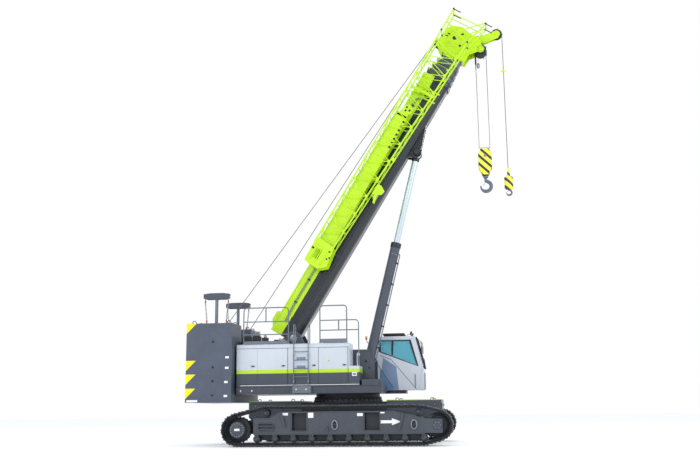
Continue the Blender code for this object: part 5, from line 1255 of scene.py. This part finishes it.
Batch("hoist_limit_switch", "main_line", DARK, bevel=0.004).boxes(((4.74, -0.03, 13.3), (4.8, 0.03, 13.64)),
    ((4.755, -0.02, 13.1), (4.785, 0.02, 13.3)))
AUX_X = tip_at.x + 0.196
Batch("aux_limit_disc", "aux_line", YELLOW).lathe([(0, 0.035), (0.04, 0.03), (0.105, 0.008), (0.11, 0.0),
    (0.105, -0.008), (0.04, -0.03), (0, -0.035)], (AUX_X, 0, 12.98), (0, 0, 1), 24)

# ---- luffing cylinder -------------------------------------------------------------------------------
Batch("cylinder_gland", "luffing_barrel", DARK,
    LUFF).lathe([(0.111, 4.44), (0.176, 4.44), (0.186, 4.47), (0.186, 4.6), (0.172, 4.62), (0.125, 4.63),
    (0.111, 4.62)], (0, 0, 0), (0, 0, 1), 32)
ring = Batch("cylinder_gland_bolts", "luffing_barrel", STEEL, LUFF)
for u, v in circle((0, 0), 0.15, 12):
    ring.bolt((u, v, 4.615), (0, 0, 1), 0.014)
for z in (0.55, 4.2):
    ring.ring((0, 0, z), (0, 0, 1), 0.17, 0.012, 32, 8)
pipe = Batch("cylinder_pipes", "luffing_barrel", TUBE, LUFF)
for y in (-0.07, 0.07):
    pipe.tube(curve_through([(0.13, y, 0.42), (0.215, y, 0.42), (0.215, y, 4.25), (0.14, y, 4.25)], 0.08),
        0.013, 8)
clip = Batch("cylinder_pipe_clips", "luffing_barrel", RUBBER, LUFF, bevel=0.002)
for k in range(5):
    clip.box((0.15, -0.1, 0.9 + k * 0.75), (0.232, 0.1, 0.94 + k * 0.75))
trim = Batch("luffing_rod_eye_cover", "luffing_rod", DARK, LUFF)
LUFF_LENGTH = (LUFF_EYE - LUFF_FOOT).length
trim.lathe([(0.1103, LUFF_LENGTH - 0.3), (0.135, LUFF_LENGTH - 0.28), (0.135, LUFF_LENGTH - 0.17),
    (0.1103, LUFF_LENGTH - 0.17)], (0, 0, 0), (0, 0, 1), 28)

# ---- hooks ------------------------------------------------------------------------------------------
HOOK_X = 4.957


def hook_curve(batch, x, top, tip, thick):
    """Swept hook with a tapered bowl, its point to the rear."""
    outer = (top - tip) * 0.45
    centre = Vector((x, 0, tip + outer))
    middle = outer * 0.74
    path, radii = [Vector((x, 0, top)), Vector((x, 0, top - (top - tip) * 0.2))], [thick * 0.75, thick * 0.78]
    for degree in range(78, -201, -14):
        a = radians(degree)
        path.append(centre + Vector((cos(a) * middle, 0, sin(a) * middle)))
        share = (78 - degree) / 278
        radii.append(min(outer - middle, thick * (0.8 + 0.5 * sin(pi * min(1.0,
            share * 1.25)) - 0.55 * share ** 3)))
    batch.tube(path, thick, 14, radii=radii)


block_top, block_low, hook_top, hook_tip = 10.15, 9.15, 9.05, 8.51
shell = Batch("main_hook_cheeks", "main_hook", HOOK_PAINT, bevel=0.008, replaces=["hook_block"])
for side in (-1, 1):
    low, high = pair(side, 0.125, 0.168)
    outline = [(HOOK_X - 0.1, block_low), (HOOK_X + 0.1, block_low), (HOOK_X + 0.235, block_low + 0.28),
        (HOOK_X + 0.235, block_top - 0.24), (HOOK_X + 0.14, block_top - 0.06),
        (HOOK_X - 0.14, block_top - 0.06), (HOOK_X - 0.235, block_top - 0.24),
        (HOOK_X - 0.235, block_low + 0.28)]
    shell.prism(outline, "Y", low, high)
gear = Batch("main_hook_sheaves", "main_hook", DARK)
for y in (-0.072, 0.0, 0.072):
    gear.lathe([(0, -0.032), (0.205, -0.032), (0.212, -0.027), (0.18, 0.0), (0.212, 0.027), (0.205, 0.032),
        (0, 0.032)], (HOOK_X, y, block_top - 0.32), (0, 1, 0), 32)
gear.box((HOOK_X - 0.11, -0.125, block_low), (HOOK_X + 0.11, 0.125, block_low + 0.14))
gear = Batch("main_hook_pins", "main_hook", STEEL)
for side in (-1, 1):
    gear.lathe([(0, 0.002), (0.05, 0.002), (0.065, -0.01), (0, -0.01)],
        (HOOK_X, side * 0.168, block_top - 0.32), (0, side, 0), 20)
    for dx in (-0.16, 0.16):
        gear.rod((HOOK_X + dx, -0.16, block_top - 0.14), (HOOK_X + dx, 0.16, block_top - 0.14), 0.014, 10)
hook = Batch("main_hook_forging", "main_hook", HOOK_STEEL)
hook.lathe([(0, 0.1), (0.075, 0.1), (0.085, 0.08), (0.085, 0.01), (0.07, 0.0), (0, 0)],
    (HOOK_X, 0, block_low - 0.1), (0, 0, 1), 20)
hook_curve(hook, HOOK_X, hook_top, hook_tip, 0.07)
Batch("main_hook_latch", "main_hook", STEEL).tube([(HOOK_X - 0.005, 0, 8.9), (HOOK_X - 0.11, 0, 8.79)], 0.01, 8)
Batch("aux_hook_weight", "aux_hook_line", HOOK_PAINT,
    replaces=["aux_hook"]).lathe([(0, 0.0), (0.025, 0.0), (0.032, -0.04), (0.036, -0.2), (0.06, -0.26),
    (0.062, -0.345), (0.135, -0.35), (0.15, -0.365), (0.15, -0.765), (0.135, -0.78), (0, -0.78)],
    (AUX_X, 0, 9.4), (0, 0, 1), 28)
hook = Batch("aux_hook_forging", "aux_hook_line", HOOK_STEEL)
hook.lathe([(0, 0.02), (0.05, 0.02), (0.055, -0.01), (0.05, -0.03), (0, -0.03)], (AUX_X, 0, 8.625), (0, 0, 1),
    18)
hook_curve(hook, AUX_X, 8.64, 8.37, 0.036)
Batch("aux_hook_latch", "aux_hook_line", STEEL).tube([(AUX_X - 0.005, 0, 8.575), (AUX_X - 0.065, 0, 8.525)],
    0.007, 8)

# ---- floor, light, camera ---------------------------------------------------------------------------
FLOOR_SIZE, FLOOR_Z = 260, -0.002
LIGHT_TARGET = (0, 0, 5)
CAMERA_AT, LENS_MM, SENSOR_MM = (4.206, -30.277, 1.114), 45.2, 36
floor_paint = finish("studio_floor", (0.93, 0.94, 0.95), 0.85, vary=0.02, bump=0.0)
bpy.ops.mesh.primitive_plane_add(size=FLOOR_SIZE, location=(0, 0, FLOOR_Z))
floor = bpy.context.object
floor.name = "studio_floor"
floor.data.materials.append(floor_paint)
floor_shader = next(n for n in floor_paint.node_tree.nodes if n.type == "BSDF_PRINCIPLED")
floor_shader.inputs["Emission Color"].default_value = (1, 1, 1, 1)
floor_shader.inputs["Emission Strength"].default_value = 0.15

world = bpy.data.worlds.new("studio")
bpy.context.scene.world = world
world.use_nodes = True
tree = world.node_tree
surround = tree.nodes["Background"]
surround.inputs["Color"].default_value = (0.93, 0.96, 1.0, 1)
surround.inputs["Strength"].default_value = 0.92
backdrop = tree.nodes.new("ShaderNodeBackground")
backdrop.inputs["Color"].default_value = (1, 1, 1, 1)
backdrop.inputs["Strength"].default_value = 1.0
chooser = tree.nodes.new("ShaderNodeMixShader")
tree.links.new(tree.nodes.new("ShaderNodeLightPath").outputs["Is Camera Ray"], chooser.inputs[0])
tree.links.new(surround.outputs[0], chooser.inputs[1])
tree.links.new(backdrop.outputs[0], chooser.inputs[2])
tree.links.new(chooser.outputs[0], tree.nodes["World Output"].inputs["Surface"])


def area_light(name, place, size, power, tint=(1, 1, 1)):
    light = bpy.data.lights.new(name, "AREA")
    light.shape = "DISK"
    light.size = size
    light.energy = power
    light.color = tint
    made = bpy.data.objects.new(name, light)
    made.location = place
    made.rotation_euler = (Vector(LIGHT_TARGET) - Vector(place)).to_track_quat("-Z", "Y").to_euler()
    bpy.context.scene.collection.objects.link(made)


area_light("key_light", (-14, -26, 24), 12, 3000, (1.0, 0.98, 0.96))
area_light("side_light", (24, -14, 14), 12, 1700, (0.95, 0.97, 1.0))
area_light("back_light", (6, 28, 22), 14, 2200)

YAW, RISE, ROLL = (radians(angle) for angle in (7.68, 11.29, -0.61))
ahead = Vector((-sin(YAW) * cos(RISE), cos(YAW) * cos(RISE), sin(RISE)))
right = Vector((cos(YAW), sin(YAW), 0))
above = right.cross(ahead)
rolled_right = cos(ROLL) * right + sin(ROLL) * above
rolled_above = -sin(ROLL) * right + cos(ROLL) * above
lens = bpy.data.cameras.new("camera")
lens.sensor_width = SENSOR_MM
lens.lens = LENS_MM
lens.clip_end = 500
camera = bpy.data.objects.new("camera", lens)
turn = Matrix((rolled_right, rolled_above, -ahead)).transposed().to_4x4()
camera.matrix_world = SHIFT @ Matrix.Translation(CAMERA_AT) @ turn
bpy.context.scene.collection.objects.link(camera)
bpy.context.scene.camera = camera
bpy.context.scene.view_settings.view_transform = "Standard"

for batch in BATCHES:
    batch.done()
